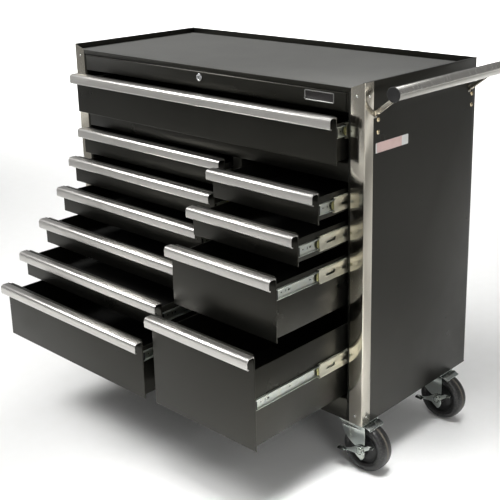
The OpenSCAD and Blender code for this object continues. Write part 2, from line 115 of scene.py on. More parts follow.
def add(tree, kind, inputs, **settings):
    """Adds a node: its settings, then its inputs as plain values or as links."""
    made = tree.nodes.new("ShaderNode" + kind)
    for key, value in settings.items():
        setattr(made, key, value)
    for key, value in inputs.items():
        if isinstance(value, bpy.types.NodeSocket):
            tree.links.new(value, made.inputs[key])
        else:
            made.inputs[key].default_value = value
    return made


def new_material(name):
    """Starts a material: itself, its nodes, and the place on the piece in metres."""
    made = bpy.data.materials.new(name)
    made.use_nodes = True
    made.node_tree.nodes.clear()
    return made, made.node_tree, add(made.node_tree, "TexCoord", {}).outputs["Object"]


def finish_material(tree, inputs):
    """Ends a material with the shader that takes the inputs."""
    shader = add(tree, "BsdfPrincipled", inputs)
    add(tree, "OutputMaterial", {"Surface": shader.outputs[0]})


# Matt white board: no gloss, with the faint mottling of paper to keep it from looking
# like an empty plane. Mottles are 40 mm across.
board, nodes, spot = new_material("matt_white_board")
mottle = add(nodes, "TexNoise", {"Vector": spot, "Scale": 1 / 0.04, "Detail": 3})
shade = add(nodes, "Mix", {0: mottle.outputs[0], 6: linear("#f4f4f2"), 7: linear("#f8f8f7")},
            data_type="RGBA")
finish_material(nodes, {"Base Color": shade.outputs[2], "Roughness": 0.9, "IOR": 1.45})

bpy.ops.object.select_all(action="DESELECT")
bpy.ops.mesh.primitive_plane_add(size=60)
floor = bpy.context.active_object
floor.name = "floor"
floor.data.materials.append(board)

# ---- Side panels ------------------------------------------------------------------
# Each side of the body is one sheet of 1.2 mm steel, folded into a channel at the front
# and the back that carries the slides, its wall going on up to the tray's rim. They are
# powder coated black after folding. The right one has slots for the handle's arms.
MM = 0.001
SHEET = 1.2


def corners(node):
    """Lowest and highest corner of a CAD node, in millimetres."""
    return [[value / MM for value in corner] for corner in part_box(node)]


(LEFT, FRONT, FOOT), (RIGHT, BACK, RAIL_TOP) = corners("base_pan")
TOP = corners("corner_trims")[1][2]


def choose(piece):
    """Selects one piece alone and makes it the active one."""
    bpy.ops.object.select_all(action="DESELECT")
    piece.select_set(True)
    bpy.context.view_layer.objects.active = piece


def call(name):
    """Names the piece that was just added, and opens it for editing."""
    piece = bpy.context.active_object
    piece.name = piece.data.name = name
    bpy.ops.object.mode_set(mode="EDIT")
    bpy.ops.mesh.select_mode(type="VERT")
    bpy.ops.mesh.select_all(action="SELECT")
    return piece


def pick(kind, test):
    """Selects what passes the test, given its middle in mm, its way, and itself."""
    bpy.ops.mesh.select_mode(type=kind)
    bpy.ops.mesh.select_all(action="DESELECT")
    mesh = bmesh.from_edit_mesh(bpy.context.active_object.data)
    mesh.normal_update()
    for part in {"VERT": mesh.verts, "EDGE": mesh.edges, "FACE": mesh.faces}[kind]:
        if kind == "VERT":
            middle, way = part.co, part.normal
        elif kind == "EDGE":
            middle = (part.verts[0].co + part.verts[1].co) / 2
            way = (part.verts[1].co - part.verts[0].co).normalized()
        else:
            middle, way = part.calc_center_median(), part.normal
        if test(middle / MM, way, part):
            part.select_set(True)
    mesh.select_flush_mode()
    bmesh.update_edit_mesh(bpy.context.active_object.data)


def push(x, y, z):
    """Extrudes what is selected, by millimetres."""
    bpy.ops.mesh.extrude_region_move(TRANSFORM_OT_translate={"value": (x * MM, y * MM, z * MM)})


def close_edit():
    bpy.ops.object.mode_set(mode="OBJECT")


def trace(name, path):
    """Draws a line through the points, a vertex at a time, and leaves it open for editing."""
    bpy.ops.object.select_all(action="DESELECT")
    bpy.ops.mesh.primitive_plane_add(size=MM, location=Vector(path[0]) * MM)
    line = call(name)
    bpy.ops.mesh.merge(type="CENTER")
    for start, end in zip(path, path[1:]):
        push(*(Vector(end) - Vector(start)))
    bpy.ops.object.mode_set(mode="OBJECT")
    bpy.ops.object.transform_apply(location=True, rotation=True, scale=True)
    bpy.ops.object.mode_set(mode="EDIT")
    bpy.ops.mesh.select_all(action="SELECT")
    return line


def fold(name, path, along, bend=2.0, steps=3):
    """Sweeps a sheet's outer line by the vector along, and rounds its bends.
    Its outside is on the side of the line's own way crossed with along."""
    sheet = trace(name, path)
    push(*along)
    bpy.ops.mesh.select_all(action="SELECT")
    bpy.ops.mesh.normals_make_consistent(inside=False)
    first = (Vector(path[0]) + Vector(path[1]) + Vector(along)) / 2
    outward = (Vector(path[1]) - Vector(path[0])).cross(Vector(along))
    mesh = bmesh.from_edit_mesh(sheet.data)
    nearest = min(mesh.faces, key=lambda f: (f.calc_center_median() / MM - first).length)
    if nearest.normal.dot(outward) < 0:
        bpy.ops.mesh.flip_normals()
    if bend:
        pick("EDGE", lambda c, w, e: len(e.link_faces) == 2 and e.calc_face_angle(0) > 0.5)
        bpy.ops.mesh.bevel(offset=bend * MM, segments=steps, affect="EDGES")
    close_edit()
    return sheet


def apply(piece, kind, **settings):
    """Puts a modifier on the piece and applies it."""
    choose(piece)
    made = piece.modifiers.new(kind.lower(), kind)
    for key, value in settings.items():
        setattr(made, key, value)
    bpy.ops.object.modifier_apply(modifier=made.name)
    return piece


def thicken(sheet, thick, cut=0.25):
    """Gives a sheet its thickness on its inner side, and breaks its cut edges."""
    apply(sheet, "SOLIDIFY", thickness=thick * MM, offset=-1, use_even_offset=True)
    return soften(sheet, cut)


def soften(piece, width, steps=2, sharp=40):
    """Rounds every edge sharper than so many degrees."""
    return apply(piece, "BEVEL", width=width * MM, segments=steps, limit_method="ANGLE",
                 angle_limit=math.radians(sharp), use_clamp_overlap=True)


def block(name, low, high):
    """A cube set out between two corners, left open for editing."""
    bpy.ops.object.select_all(action="DESELECT")
    low, high = Vector(low), Vector(high)
    bpy.ops.mesh.primitive_cube_add(size=1, location=(low + high) / 2 * MM,
                                    scale=(high - low) * MM)
    bpy.ops.object.transform_apply(location=True, rotation=True, scale=True)
    return call(name)


def rod(name, middle, radius, length, way, sides=32):
    """A cylinder lying along x, y or z, left open for editing."""
    bpy.ops.object.select_all(action="DESELECT")
    turn = {"x": (0, math.pi / 2, 0), "y": (math.pi / 2, 0, 0), "z": (0, 0, 0)}[way]
    bpy.ops.mesh.primitive_cylinder_add(vertices=sides, radius=radius * MM, depth=length * MM,
                                        location=Vector(middle) * MM, rotation=turn)
    bpy.ops.object.transform_apply(location=True, rotation=True, scale=True)
    return call(name)


def cut(piece, *cutters):
    """Takes the cutters' shapes out of the piece, and throws them away."""
    for cutter in cutters:
        apply(piece, "BOOLEAN", operation="DIFFERENCE", object=cutter, solver="EXACT")
        bpy.data.objects.remove(cutter)
    return piece


def twin(piece, name, move=(0, 0, 0), flip=False):
    """Copies a piece with a mesh of its own, moved by millimetres or mirrored left to right."""
    choose(piece)
    bpy.ops.object.duplicate()
    made = call(name)
    if flip:
        bpy.ops.transform.mirror(constraint_axis=(True, False, False), orient_type="GLOBAL",
                                 center_override=(0, 0, 0))
    bpy.ops.transform.translate(value=Vector(move) * MM)
    close_edit()
    return made


def settle(piece, finish):
    """Smooths a finished piece, turns its faces outwards and gives it its material."""
    choose(piece)
    mesh = bmesh.new()
    mesh.from_mesh(piece.data)
    if mesh.calc_volume(signed=True) < 0:
        bmesh.ops.reverse_faces(mesh, faces=mesh.faces)
        mesh.to_mesh(piece.data)
    mesh.free()
    bpy.ops.object.shade_smooth_by_angle(angle=math.radians(32))
    piece.data.materials.clear()
    piece.data.materials.append(finish)
    return piece


# Semi-gloss black powder coat: a resin film baked on over the steel. Its fine orange
# peel, pitched at 1.6 mm, breaks reflections up, patches handled more are smoother, and
# rare hairlines show a greyer film.
powder_coat, nodes, spot = new_material("black_powder_coat_semi_gloss")
peel = add(nodes, "TexNoise", {"Vector": spot, "Scale": 1 / 0.0016, "Detail": 2})
patch = add(nodes, "TexNoise", {"Vector": spot, "Scale": 1 / 0.09, "Detail": 4})
film = add(nodes, "MapRange", {"Value": patch.outputs[0], "From Min": 0.3, "From Max": 0.7,
                               "To Min": 0.27, "To Max": 0.37})
thin = add(nodes, "Mapping", {"Vector": spot, "Scale": (8, 8, 420)})
hair = add(nodes, "TexNoise", {"Vector": thin.outputs[0], "Scale": 1, "Detail": 5})
scuff = add(nodes, "MapRange", {"Value": hair.outputs[0], "From Min": 0.68, "From Max": 0.8})
tone = add(nodes, "Mix", {0: patch.outputs[0], 6: linear("#0f0f0d"), 7: linear("#141412")},
           data_type="RGBA")
worn = add(nodes, "Mix", {0: scuff.outputs[0], 6: tone.outputs[2], 7: linear("#262521")},
           data_type="RGBA")
dents = add(nodes, "Bump", {"Height": peel.outputs[0], "Strength": 0.12, "Distance": 0.0002})
finish_material(nodes, {"Base Color": worn.outputs[2], "Roughness": film.outputs[0],
                        "Normal": dents.outputs[0], "IOR": 1.5, "Specular IOR Level": 0.36,
                        "Specular Tint": linear("#fffbe8")})

POST_LEFT, _, PANEL_FOOT = corners("side_panel_right")[0]
TRAY_FLOOR = corners("top_tray")[1][2] - 19
FRONT_POST, REAR_POST = 30, 62
panel_back = BACK - SHEET
side = fold("side_panel_plain", [
    (POST_LEFT, FRONT + FRONT_POST, PANEL_FOOT), (POST_LEFT, FRONT, PANEL_FOOT),
    (RIGHT, FRONT, PANEL_FOOT), (RIGHT, panel_back, PANEL_FOOT),
    (POST_LEFT, panel_back, PANEL_FOOT), (POST_LEFT, panel_back - REAR_POST, PANEL_FOOT)],
    (0, 0, TRAY_FLOOR - PANEL_FOOT))
bpy.ops.object.mode_set(mode="EDIT")
pick("EDGE", lambda c, w, e: c.z > TRAY_FLOOR - 1 and c.x > RIGHT - 0.1 and abs(w.y) > 0.9)
push(0, 0, TOP - SHEET - TRAY_FLOOR)
close_edit()
thicken(side, SHEET)
left_side = twin(side, "side_sheet_left", flip=True)
arm_foot = corners("handle_brackets")[1][2]
brackets_low, brackets_high = corners("handle_brackets")
ARM_HALF, PLATE_PAST_ARM = 7.5, 23.5
arm_lines = (brackets_low[1] + ARM_HALF, brackets_high[1] - PLATE_PAST_ARM)
slot_foot = brackets_low[2] + 46
for arm_y in arm_lines:
    slot_cut = block("slot_cut", (RIGHT - 4, arm_y - 8.5, slot_foot),
                     (RIGHT + 4, arm_y + 8.5, slot_foot + 18))
    close_edit()
    cut(side, slot_cut)
side.name = side.data.name = "side_sheet_right"
for piece, node in ((left_side, "side_panel_left"), (side, "side_panel_right")):
    settle(piece, powder_coat)
    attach(piece, "cabinet")
    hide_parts(node)

# ---- Back panel, base pan, divider and rails --------------------------------------
# The rest of the body is the same folded sheet, spot welded between the sides: a flat
# back with two pressed stiffening ribs, the base pan with its front rail, the divider
# between the columns and the channel rail under the top drawer.
back_low, back_high = corners("back_panel")
sheet_back = block("back_sheet", back_low, back_high)
pick("FACE", lambda c, w, f: w.y > 0.9)
bpy.ops.mesh.inset(thickness=42 * MM)
bpy.ops.mesh.inset(thickness=5 * MM, depth=-0.6 * MM)
close_edit()
soften(sheet_back, 0.25)
settle(sheet_back, powder_coat)
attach(sheet_back, "cabinet")
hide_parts("back_panel")

PAN_THICK, RAIL_FOLD = 2, 20
pan = block("base_floor", (LEFT, FRONT, FOOT), (RIGHT, BACK, FOOT + PAN_THICK))
pick("FACE", lambda c, w, f: w.z < -0.9)
bpy.ops.mesh.inset(thickness=110 * MM)
bpy.ops.mesh.inset(thickness=4 * MM, depth=-0.8 * MM)
close_edit()
soften(pan, 0.4)
base_rail = fold("base_rail", [
    (-POST_LEFT, FRONT + RAIL_FOLD, RAIL_TOP), (-POST_LEFT, FRONT, RAIL_TOP),
    (-POST_LEFT, FRONT, FOOT + PAN_THICK)], (2 * POST_LEFT, 0, 0))
thicken(base_rail, SHEET)

div_low, div_high = corners("centre_divider")
divider = fold("divider_upright", [
    (div_low[0], div_high[1], RAIL_TOP), (div_low[0], FRONT, RAIL_TOP),
    (div_high[0], FRONT, RAIL_TOP), (div_high[0], div_high[1], RAIL_TOP)],
    (0, 0, div_high[2] - RAIL_TOP))
thicken(divider, SHEET)
divider_foot = fold("divider_foot", [
    (div_low[0], div_high[1], div_low[2]), (div_low[0], FRONT + RAIL_FOLD + 1, div_low[2]),
    (div_high[0], FRONT + RAIL_FOLD + 1, div_low[2]), (div_high[0], div_high[1], div_low[2])],
    (0, 0, RAIL_TOP - div_low[2] - 0.2))
thicken(divider_foot, SHEET)

mid_low, mid_high = corners("mid_rail")
middle_rail = fold("middle_rail", [
    (mid_low[0], mid_high[1], mid_high[2]), (mid_low[0], FRONT, mid_high[2]),
    (mid_low[0], FRONT, mid_low[2]), (mid_low[0], mid_high[1], mid_low[2])],
    (mid_high[0] - mid_low[0], 0, 0))
thicken(middle_rail, SHEET)

for piece, node in ((pan, "base_pan"), (base_rail, "base_pan"), (divider, "centre_divider"),
                    (divider_foot, "centre_divider"), (middle_rail, "mid_rail")):
    settle(piece, powder_coat)
    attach(piece, "cabinet")
    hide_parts(node)

# ---- Lock rail and its raised face ------------------------------------------------
# The channel above the top drawer carries a raised face: a second sheet with rolled
# long edges and a joggle near each end. The lock's bore goes through both.
rail_low, rail_high = corners("lock_rail")
plug_low, plug_high = corners("lock_plug")
PAD_HALF, PAD_PROUD, JOGGLE = 481.5, 3, 26
lock_y, lock_z = plug_low[1], (plug_high[2] - 6.5)
rail_in = fold("lock_rail_channel", [
    (rail_low[0], rail_high[1], rail_high[2]), (rail_low[0], FRONT, rail_high[2]),
    (rail_low[0], FRONT, rail_low[2]), (rail_low[0], rail_high[1], rail_low[2])],
    (rail_high[0] - rail_low[0], 0, 0))
thicken(rail_in, SHEET)
pad_foot, pad_head = rail_low[2] + 1, rail_high[2] - 1
face = fold("raised_face", [
    (-PAD_HALF, FRONT - 0.1, pad_head), (-PAD_HALF, FRONT - PAD_PROUD, pad_head),
    (-PAD_HALF, FRONT - PAD_PROUD, pad_foot), (-PAD_HALF, FRONT - 0.1, pad_foot)],
    (2 * PAD_HALF, 0, 0), bend=2.4, steps=4)
bpy.ops.object.mode_set(mode="EDIT")
for edge in (-PAD_HALF + JOGGLE, -PAD_HALF + JOGGLE + 1.5, PAD_HALF - JOGGLE - 1.5,
             PAD_HALF - JOGGLE):
    bpy.ops.mesh.select_all(action="SELECT")
    bpy.ops.mesh.bisect(plane_co=(edge * MM, 0, 0), plane_no=(1, 0, 0))
pick("VERT", lambda c, w, v: abs(c.x) > PAD_HALF - JOGGLE - 0.1 and c.y < FRONT - 1)
bpy.ops.transform.translate(value=(0, 0.7 * MM, 0))
close_edit()
thicken(face, SHEET, cut=0.2)
for piece in (rail_in, face):
    bore = rod("bore", (0, FRONT, lock_z), 6.55, 40, "y", sides=48)
    close_edit()
    cut(piece, bore)
    settle(piece, powder_coat)
    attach(piece, "cabinet")
    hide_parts("lock_rail")

# ---- Tray -------------------------------------------------------------------------
# The top is a shallow tray: its sides and back stand up as rims, hemmed over the body's
# walls, and its front turns down in a bullnose over the raised face.
tray_low, tray_high = corners("top_tray")
mat_low, mat_high = corners("top_mat")
RIM_WIDE = 6
rim_x, rim_y = RIGHT - RIM_WIDE, BACK - RIM_WIDE
HEM_DROP = 1.6
rim = fold("tray_rim_right", [
    (rim_x, FRONT, TRAY_FLOOR + 0.2), (rim_x, FRONT, TOP - 0.05),
    (RIGHT - 0.05, FRONT, TOP - 0.05), (RIGHT - 0.05, FRONT, TOP - HEM_DROP)],
    (0, BACK - FRONT - 0.1, 0), bend=0.9)
thicken(rim, 0.7, cut=0.15)
back_rim = fold("tray_rim_back", [
    (rim_x, rim_y, TRAY_FLOOR + 0.2), (rim_x, rim_y, TOP - 0.05),
    (rim_x, BACK - 0.05, TOP - 0.05), (rim_x, BACK - 0.05, TOP - HEM_DROP)],
    (-2 * rim_x, 0, 0), bend=0.9)
thicken(back_rim, 0.7, cut=0.15)
rims = [rim, twin(rim, "tray_rim_left", flip=True), back_rim]
tray_floor = block("tray_floor", (-rim_x, FRONT + 2, TRAY_FLOOR), (rim_x, rim_y, TRAY_FLOOR + SHEET))
close_edit()
soften(tray_floor, 0.2)
nose_x = RIGHT - 39.5
nose_top = mat_high[2]
nose = fold("tray_bullnose", [
    (-nose_x, FRONT + 3, nose_top), (-nose_x, FRONT - 1, nose_top),
    (-nose_x, FRONT - 1, nose_top - 11), (-nose_x, FRONT - 0.1, nose_top - 11)],
    (2 * nose_x, 0, 0), bend=0.8, steps=3)
thicken(nose, 0.8, cut=0.1)
for piece in rims + [tray_floor, nose]:
    settle(piece, powder_coat)
    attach(piece, "cabinet")
    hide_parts("top_tray")

# ---- Mat --------------------------------------------------------------------------
# A loose sheet of grey foamed rubber lies on the tray's floor, cut with a rounded edge.
# Matt grey PVC foam: a closed pebbled skin, pitched at 2.5 mm, slightly darker where
# tools have rubbed it. It gives a flat, almost shadowless grey.
mat = block("tray_mat", mat_low, mat_high)
pick("FACE", lambda c, w, f: w.z > 0.9)
bpy.ops.mesh.inset(thickness=1.2 * MM, depth=0)
close_edit()
soften(mat, 0.9, steps=3)
foam, nodes, spot = new_material("grey_foamed_rubber_matt")
pebble = add(nodes, "TexVoronoi", {"Vector": spot, "Scale": 1 / 0.0025})
rubbed = add(nodes, "TexNoise", {"Vector": spot, "Scale": 1 / 0.12, "Detail": 5})
grey = add(nodes, "Mix", {0: rubbed.outputs[0], 6: linear("#555553"), 7: linear("#62625f")},
           data_type="RGBA")
skin = add(nodes, "Bump", {"Height": pebble.outputs["Distance"], "Strength": 0.25,
                           "Distance": 0.0004})
finish_material(nodes, {"Base Color": grey.outputs[2], "Roughness": 0.75,
                        "Normal": skin.outputs[0], "IOR": 1.48, "Specular IOR Level": 0.35})
settle(mat, foam)
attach(mat, "cabinet")
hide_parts("top_mat")

# ---- Corner trims -----------------------------------------------------------------
# A long stainless angle covers each front corner of the body, bent from 1 mm sheet, the
# top of its front leaf cut at a slope. Pop rivets hold it near the top and the foot.
trim_low, trim_high = corners("corner_trims")
TRIM, FRONT_LEAF, SIDE_LEAF, SLOPE = 1, 39, 31, 14
trim = fold("corner_trim_right", [
    (RIGHT - FRONT_LEAF, FRONT - TRIM, FOOT), (RIGHT + TRIM, FRONT - TRIM, FOOT),
    (RIGHT + TRIM, FRONT - TRIM + SIDE_LEAF + TRIM, FOOT)], (0, 0, TOP - FOOT),
    bend=1.9, steps=5)
bpy.ops.object.mode_set(mode="EDIT")
pick("VERT", lambda c, w, v: c.z > TOP - 1 and c.x < RIGHT - FRONT_LEAF + 1)
bpy.ops.transform.translate(value=(0, 0, -SLOPE * MM))
close_edit()
thicken(trim, TRIM - 0.02, cut=0.2)
left_trim = twin(trim, "corner_trim_left", flip=True)

# Stainless steel, polished to a soft mirror: the rolling grain runs up the strip, 0.5 mm
# apart, and the sheet's slow waves, 60 mm apart, bend what it reflects.
stainless, nodes, spot = new_material("polished_stainless_strip")
grain_way = add(nodes, "Mapping", {"Vector": spot, "Scale": (2000, 2000, 6)})
grain = add(nodes, "TexNoise", {"Vector": grain_way.outputs[0], "Scale": 1, "Detail": 3})
wave = add(nodes, "TexNoise", {"Vector": spot, "Scale": 1 / 0.06, "Detail": 1})
gloss = add(nodes, "MapRange", {"Value": grain.outputs[0], "To Min": 0.1, "To Max": 0.24})
tint = add(nodes, "Mix", {0: wave.outputs[0], 6: linear("#d9d4c8"), 7: linear("#cfc9bb")},
           data_type="RGBA")
ripple = add(nodes, "Bump", {"Height": wave.outputs[0], "Strength": 0.35, "Distance": 0.0012})
lines = add(nodes, "Bump", {"Height": grain.outputs[0], "Strength": 0.05, "Distance": 0.0001,
                            "Normal": ripple.outputs[0]})
finish_material(nodes, {"Base Color": tint.outputs[2], "Roughness": gloss.outputs[0],
                        "Normal": lines.outputs[0], "Metallic": 1.0})
for piece in (trim, left_trim):
    settle(piece, stainless)
    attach(piece, "cabinet")
    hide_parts("corner_trims")

# ---- Trim rivets ------------------------------------------------------------------
# Blind rivets with domed aluminium heads and the dimple of the broken pulling pin, two
# on each leaf of each trim: turned blanks, set by pulling.
rivet_low, rivet_high = corners("trim_rivets")
HEAD, HEAD_HIGH, SHANK = 3.2, 1.4, 1.6
head = rod("trim_rivet_front_low", (RIGHT - 22, FRONT - TRIM - HEAD_HIGH / 2, FOOT + 22),
           HEAD, HEAD_HIGH, "y", sides=24)
pick("FACE", lambda c, w, f: w.y < -0.9)
bpy.ops.mesh.inset(thickness=1.0 * MM)
bpy.ops.transform.translate(value=(0, 0, 0))
pick("VERT", lambda c, w, v: c.y < FRONT - TRIM - HEAD_HIGH + 0.05
     and (Vector((c.x - RIGHT + 22, c.z - FOOT - 22))).length > HEAD - 0.1)
bpy.ops.transform.translate(value=(0, 0.8 * MM, 0))
pick("FACE", lambda c, w, f: w.y < -0.99)
bpy.ops.mesh.inset(thickness=1.3 * MM)
bpy.ops.mesh.inset(thickness=0.25 * MM, depth=-0.5 * MM)
pick("FACE", lambda c, w, f: w.y > 0.99)
bpy.ops.mesh.inset(thickness=(HEAD - SHANK) * MM)
push(0, 3, 0)
close_edit()
soften(head, 0.25, steps=2, sharp=25)
rivet_metal, nodes, spot = new_material("rivet_aluminium_bright")
# Bright aluminium straight from the tool: smooth, with faint marks of the jaws.
marks = add(nodes, "TexNoise", {"Vector": spot, "Scale": 1 / 0.0012, "Detail": 2})
dull = add(nodes, "MapRange", {"Value": marks.outputs[0], "To Min": 0.16, "To Max": 0.3})
pale = add(nodes, "Mix", {0: marks.outputs[0], 6: linear("#dcdcd8"), 7: linear("#c6c6c2")},
           data_type="RGBA")
finish_material(nodes, {"Base Color": pale.outputs[2], "Roughness": dull.outputs[0],
                        "Metallic": 1.0})
front_rivets = [head, twin(head, "trim_rivet_front_high", (0, 0, TOP - FOOT - 54))]
side_head = twin(head, "trim_rivet_side_low")
bpy.ops.object.mode_set(mode="EDIT")
bpy.ops.mesh.select_all(action="SELECT")
bpy.ops.transform.rotate(value=-math.pi / 2, orient_axis="Z", orient_type="GLOBAL",
                         center_override=Vector((RIGHT - 22, FRONT - TRIM, FOOT + 22)) * MM)
close_edit()
middle = sum((v.co for v in side_head.data.vertices), Vector()) / len(side_head.data.vertices)
if max(v.co.x for v in side_head.data.vertices) < (RIGHT - 22 + 1) * MM:
    bpy.ops.object.mode_set(mode="EDIT")
    bpy.ops.transform.rotate(value=math.pi, orient_axis="Z", orient_type="GLOBAL",
                             center_override=Vector((RIGHT - 22, FRONT - TRIM, FOOT + 22)) * MM)
    close_edit()
bpy.ops.object.mode_set(mode="EDIT")
bpy.ops.transform.translate(value=(23 * MM, 17 * MM, 0))
close_edit()
side_rivets = [side_head, twin(side_head, "trim_rivet_side_high", (0, 0, TOP - FOOT - 54))]
for piece in front_rivets + side_rivets:
    mirrored = twin(piece, piece.name + "_left", flip=True)
    for rivet in (piece, mirrored):
        settle(rivet, rivet_metal)
        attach(rivet, "cabinet")
        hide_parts("trim_rivets")

# ---- Slides -----------------------------------------------------------------------
# Ball bearing slides, rolled from zinc plated strip: a member on the body, a middle
# member, and one riveted to the drawer. Each is modelled once, for the left side of an
# opening at the cabinet's front, and copied to both sides of all eleven drawers.
DRAWERS = [name[len("drawer_"):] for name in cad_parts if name.startswith("drawer_")]
SLIDE_FRONT, SLIDE_LONG = FRONT + 12, 396
OUTER, MIDDLE, INNER = 22.5, 18, 12.5


def level(name):
    """Height of the middle of a drawer's slides, from the middle member's box."""
    low, high = corners("middle_slides_" + name)
    return (low[2] + high[2]) / 2


body_member = fold("body_member", [
    (9.5, 0, -OUTER + 1.9), (9.5, 0, -OUTER), (0.05, 0, -OUTER), (0.05, 0, -15.5),
    (1.2, 0, -13), (1.2, 0, 13), (0.05, 0, 15.5), (0.05, 0, OUTER), (9.5, 0, OUTER),
    (9.5, 0, OUTER - 1.9)], (0, SLIDE_LONG, 0), bend=1.4, steps=3)
thicken(body_member, 1.2, cut=0.15)
for at, high in ((22, 5), (64, 8), (200, 5), (330, 8)):
    hole = rod("hole", (0, at, 0), high / 2, 8, "x", sides=20)
    close_edit()
    cut(body_member, hole)

middle_member = fold("middle_member", [
    (11, 0, -MIDDLE + 1.8), (11, 0, -MIDDLE), (3.2, 0, -MIDDLE), (3.2, 0, -13.6),
    (4.6, 0, -10.4), (4.6, 0, 10.4), (3.2, 0, 13.6), (3.2, 0, MIDDLE), (11, 0, MIDDLE),
    (11, 0, MIDDLE - 1.8)], (0, SLIDE_LONG - 24, 0), bend=1.6, steps=3)
bpy.ops.object.mode_set(mode="EDIT")
bpy.ops.mesh.select_all(action="SELECT")
bpy.ops.transform.translate(value=(0, 8 * MM, 0))
close_edit()
thicken(middle_member, 1.2, cut=0.15)
for start, long, low_edge, high_edge in (
        (34, 32, -4, 1.5), (58, 8, 1, 6), (94, 16, -4, 3), (112, 8, -2, 5),
        (150, 5, -3, 3), (200, 40, -3, 3), (300, 30, -3, 3)):
    slot_cut = block("slot_cut", (0, start, low_edge), (9, start + long, high_edge))
    close_edit()
    cut(middle_member, slot_cut)

drawer_member = fold("drawer_member", [
    (6, 0, INNER), (12.65, 0, INNER), (12.65, 0, -INNER), (6, 0, -INNER)],
    (0, SLIDE_LONG, 0), bend=1.4, steps=3)
thicken(drawer_member, 1.2, cut=0.15)
for at, wide, high in ((22, 5, 4), (37, 3, 8), (47, 6, 6), (120, 6, 4), (250, 6, 4)):
    hole = rod("hole", (12, at, 0), wide / 2, 8, "x", sides=16)
    bpy.ops.transform.resize(value=(1, 1, high / wide), center_override=(0, 0, 0))
    close_edit()
    cut(drawer_member, hole)

# The retainer that spaces the balls: a strip with a rounded nose, its rims curled over
# a row of balls top and bottom.
retainer = trace("ball_retainer", [
    (7.2, 9, -10.6), (7.2, 5, -9.8), (7.2, 2, -6.5), (7.2, 1.2, 0), (7.2, 2, 6.5),
    (7.2, 5, 9.8), (7.2, 9, 10.6), (7.2, 96, 10.6), (7.2, 96, -10.6)])
bpy.ops.mesh.edge_face_add()
close_edit()
apply(retainer, "SOLIDIFY", thickness=1.6 * MM, offset=0)
soften(retainer, 0.3)
window = block("window", (4, 26, -6), (10, 84, 6))
close_edit()
cut(retainer, window)
bpy.ops.object.select_all(action="DESELECT")
bpy.ops.mesh.primitive_uv_sphere_add(segments=10, ring_count=6, radius=2.1 * MM,
                                     location=(7.2 * MM, 14 * MM, 14.6 * MM))
bpy.ops.object.transform_apply(location=True, rotation=True, scale=True)
ball = call("ball")
bpy.ops.mesh.duplicate_move(TRANSFORM_OT_translate={"value": (0, 0, -29.2 * MM)})
close_edit()
apply(ball, "ARRAY", count=8, use_relative_offset=False, use_constant_offset=True,
      constant_offset_displace=(0, 11 * MM, 0))

# A moulded bumper closes the front end of the drawer's member.
bumper = block("bumper", (6.2, 0.4, -10.8), (11.2, 5.4, 10.8))
pick("FACE", lambda c, w, f: w.x < -0.9)
bpy.ops.mesh.inset(thickness=1.2 * MM)
push(0.9, 0, 0)
close_edit()
soften(bumper, 0.4)

# Zinc plate, passivated clear: a bright bluish metal with straw patches, 14 mm across,
# and the drawing lines of the rolled strip along it.
zinc, nodes, spot = new_material("zinc_plate_clear_passivated")
patch = add(nodes, "TexNoise", {"Vector": spot, "Scale": 1 / 0.014, "Detail": 3})
drawn = add(nodes, "Mapping", {"Vector": spot, "Scale": (1400, 10, 1400)})
line = add(nodes, "TexNoise", {"Vector": drawn.outputs[0], "Scale": 1, "Detail": 2})
hue = add(nodes, "Mix", {0: patch.outputs[0], 6: linear("#b9c2c4"), 7: linear("#c4c3b2")},
          data_type="RGBA")
dull = add(nodes, "MapRange", {"Value": line.outputs[0], "To Min": 0.22, "To Max": 0.42})
ridge = add(nodes, "Bump", {"Height": line.outputs[0], "Strength": 0.08, "Distance": 0.0002})
finish_material(nodes, {"Base Color": hue.outputs[2], "Roughness": dull.outputs[0],
                        "Normal": ridge.outputs[0], "Metallic": 1.0})
# The middle members are phosphated a warmer, duller silver under a film of grease.
zinc_warm, nodes, spot = new_material("zinc_plate_warm_greased")
smear = add(nodes, "TexNoise", {"Vector": spot, "Scale": 1 / 0.01, "Detail": 4})
hue = add(nodes, "Mix", {0: smear.outputs[0], 6: linear("#b8b5a4"), 7: linear("#cbc8b8")},
          data_type="RGBA")
dull = add(nodes, "MapRange", {"Value": smear.outputs[0], "From Min": 0.3, "From Max": 0.7,
                               "To Min": 0.28, "To Max": 0.5})
finish_material(nodes, {"Base Color": hue.outputs[2], "Roughness": dull.outputs[0],
                        "Metallic": 1.0})
# Yellow-green passivated retainer strip, a softer film that grease darkens in blotches.
cage_metal, nodes, spot = new_material("retainer_yellow_passivated")
blotch = add(nodes, "TexNoise", {"Vector": spot, "Scale": 1 / 0.005, "Detail": 3})
hue = add(nodes, "Mix", {0: blotch.outputs[0], 6: linear("#8f8c5e"), 7: linear("#a9a67c")},
          data_type="RGBA")
dull = add(nodes, "MapRange", {"Value": blotch.outputs[0], "To Min": 0.3, "To Max": 0.5})
finish_material(nodes, {"Base Color": hue.outputs[2], "Roughness": dull.outputs[0],
                        "Metallic": 1.0})
# Hardened steel balls, lapped to a mirror, each with a trace of oil.
ball_steel, nodes, spot = new_material("bearing_steel_lapped")
oil = add(nodes, "TexNoise", {"Vector": spot, "Scale": 1 / 0.003, "Detail": 2})
hue = add(nodes, "Mix", {0: oil.outputs[0], 6: linear("#d2d4d6"), 7: linear("#bdbdb6")},
          data_type="RGBA")
dull = add(nodes, "MapRange", {"Value": oil.outputs[0], "To Min": 0.06, "To Max": 0.2})
finish_material(nodes, {"Base Color": hue.outputs[2], "Roughness": dull.outputs[0],
                        "Metallic": 1.0})
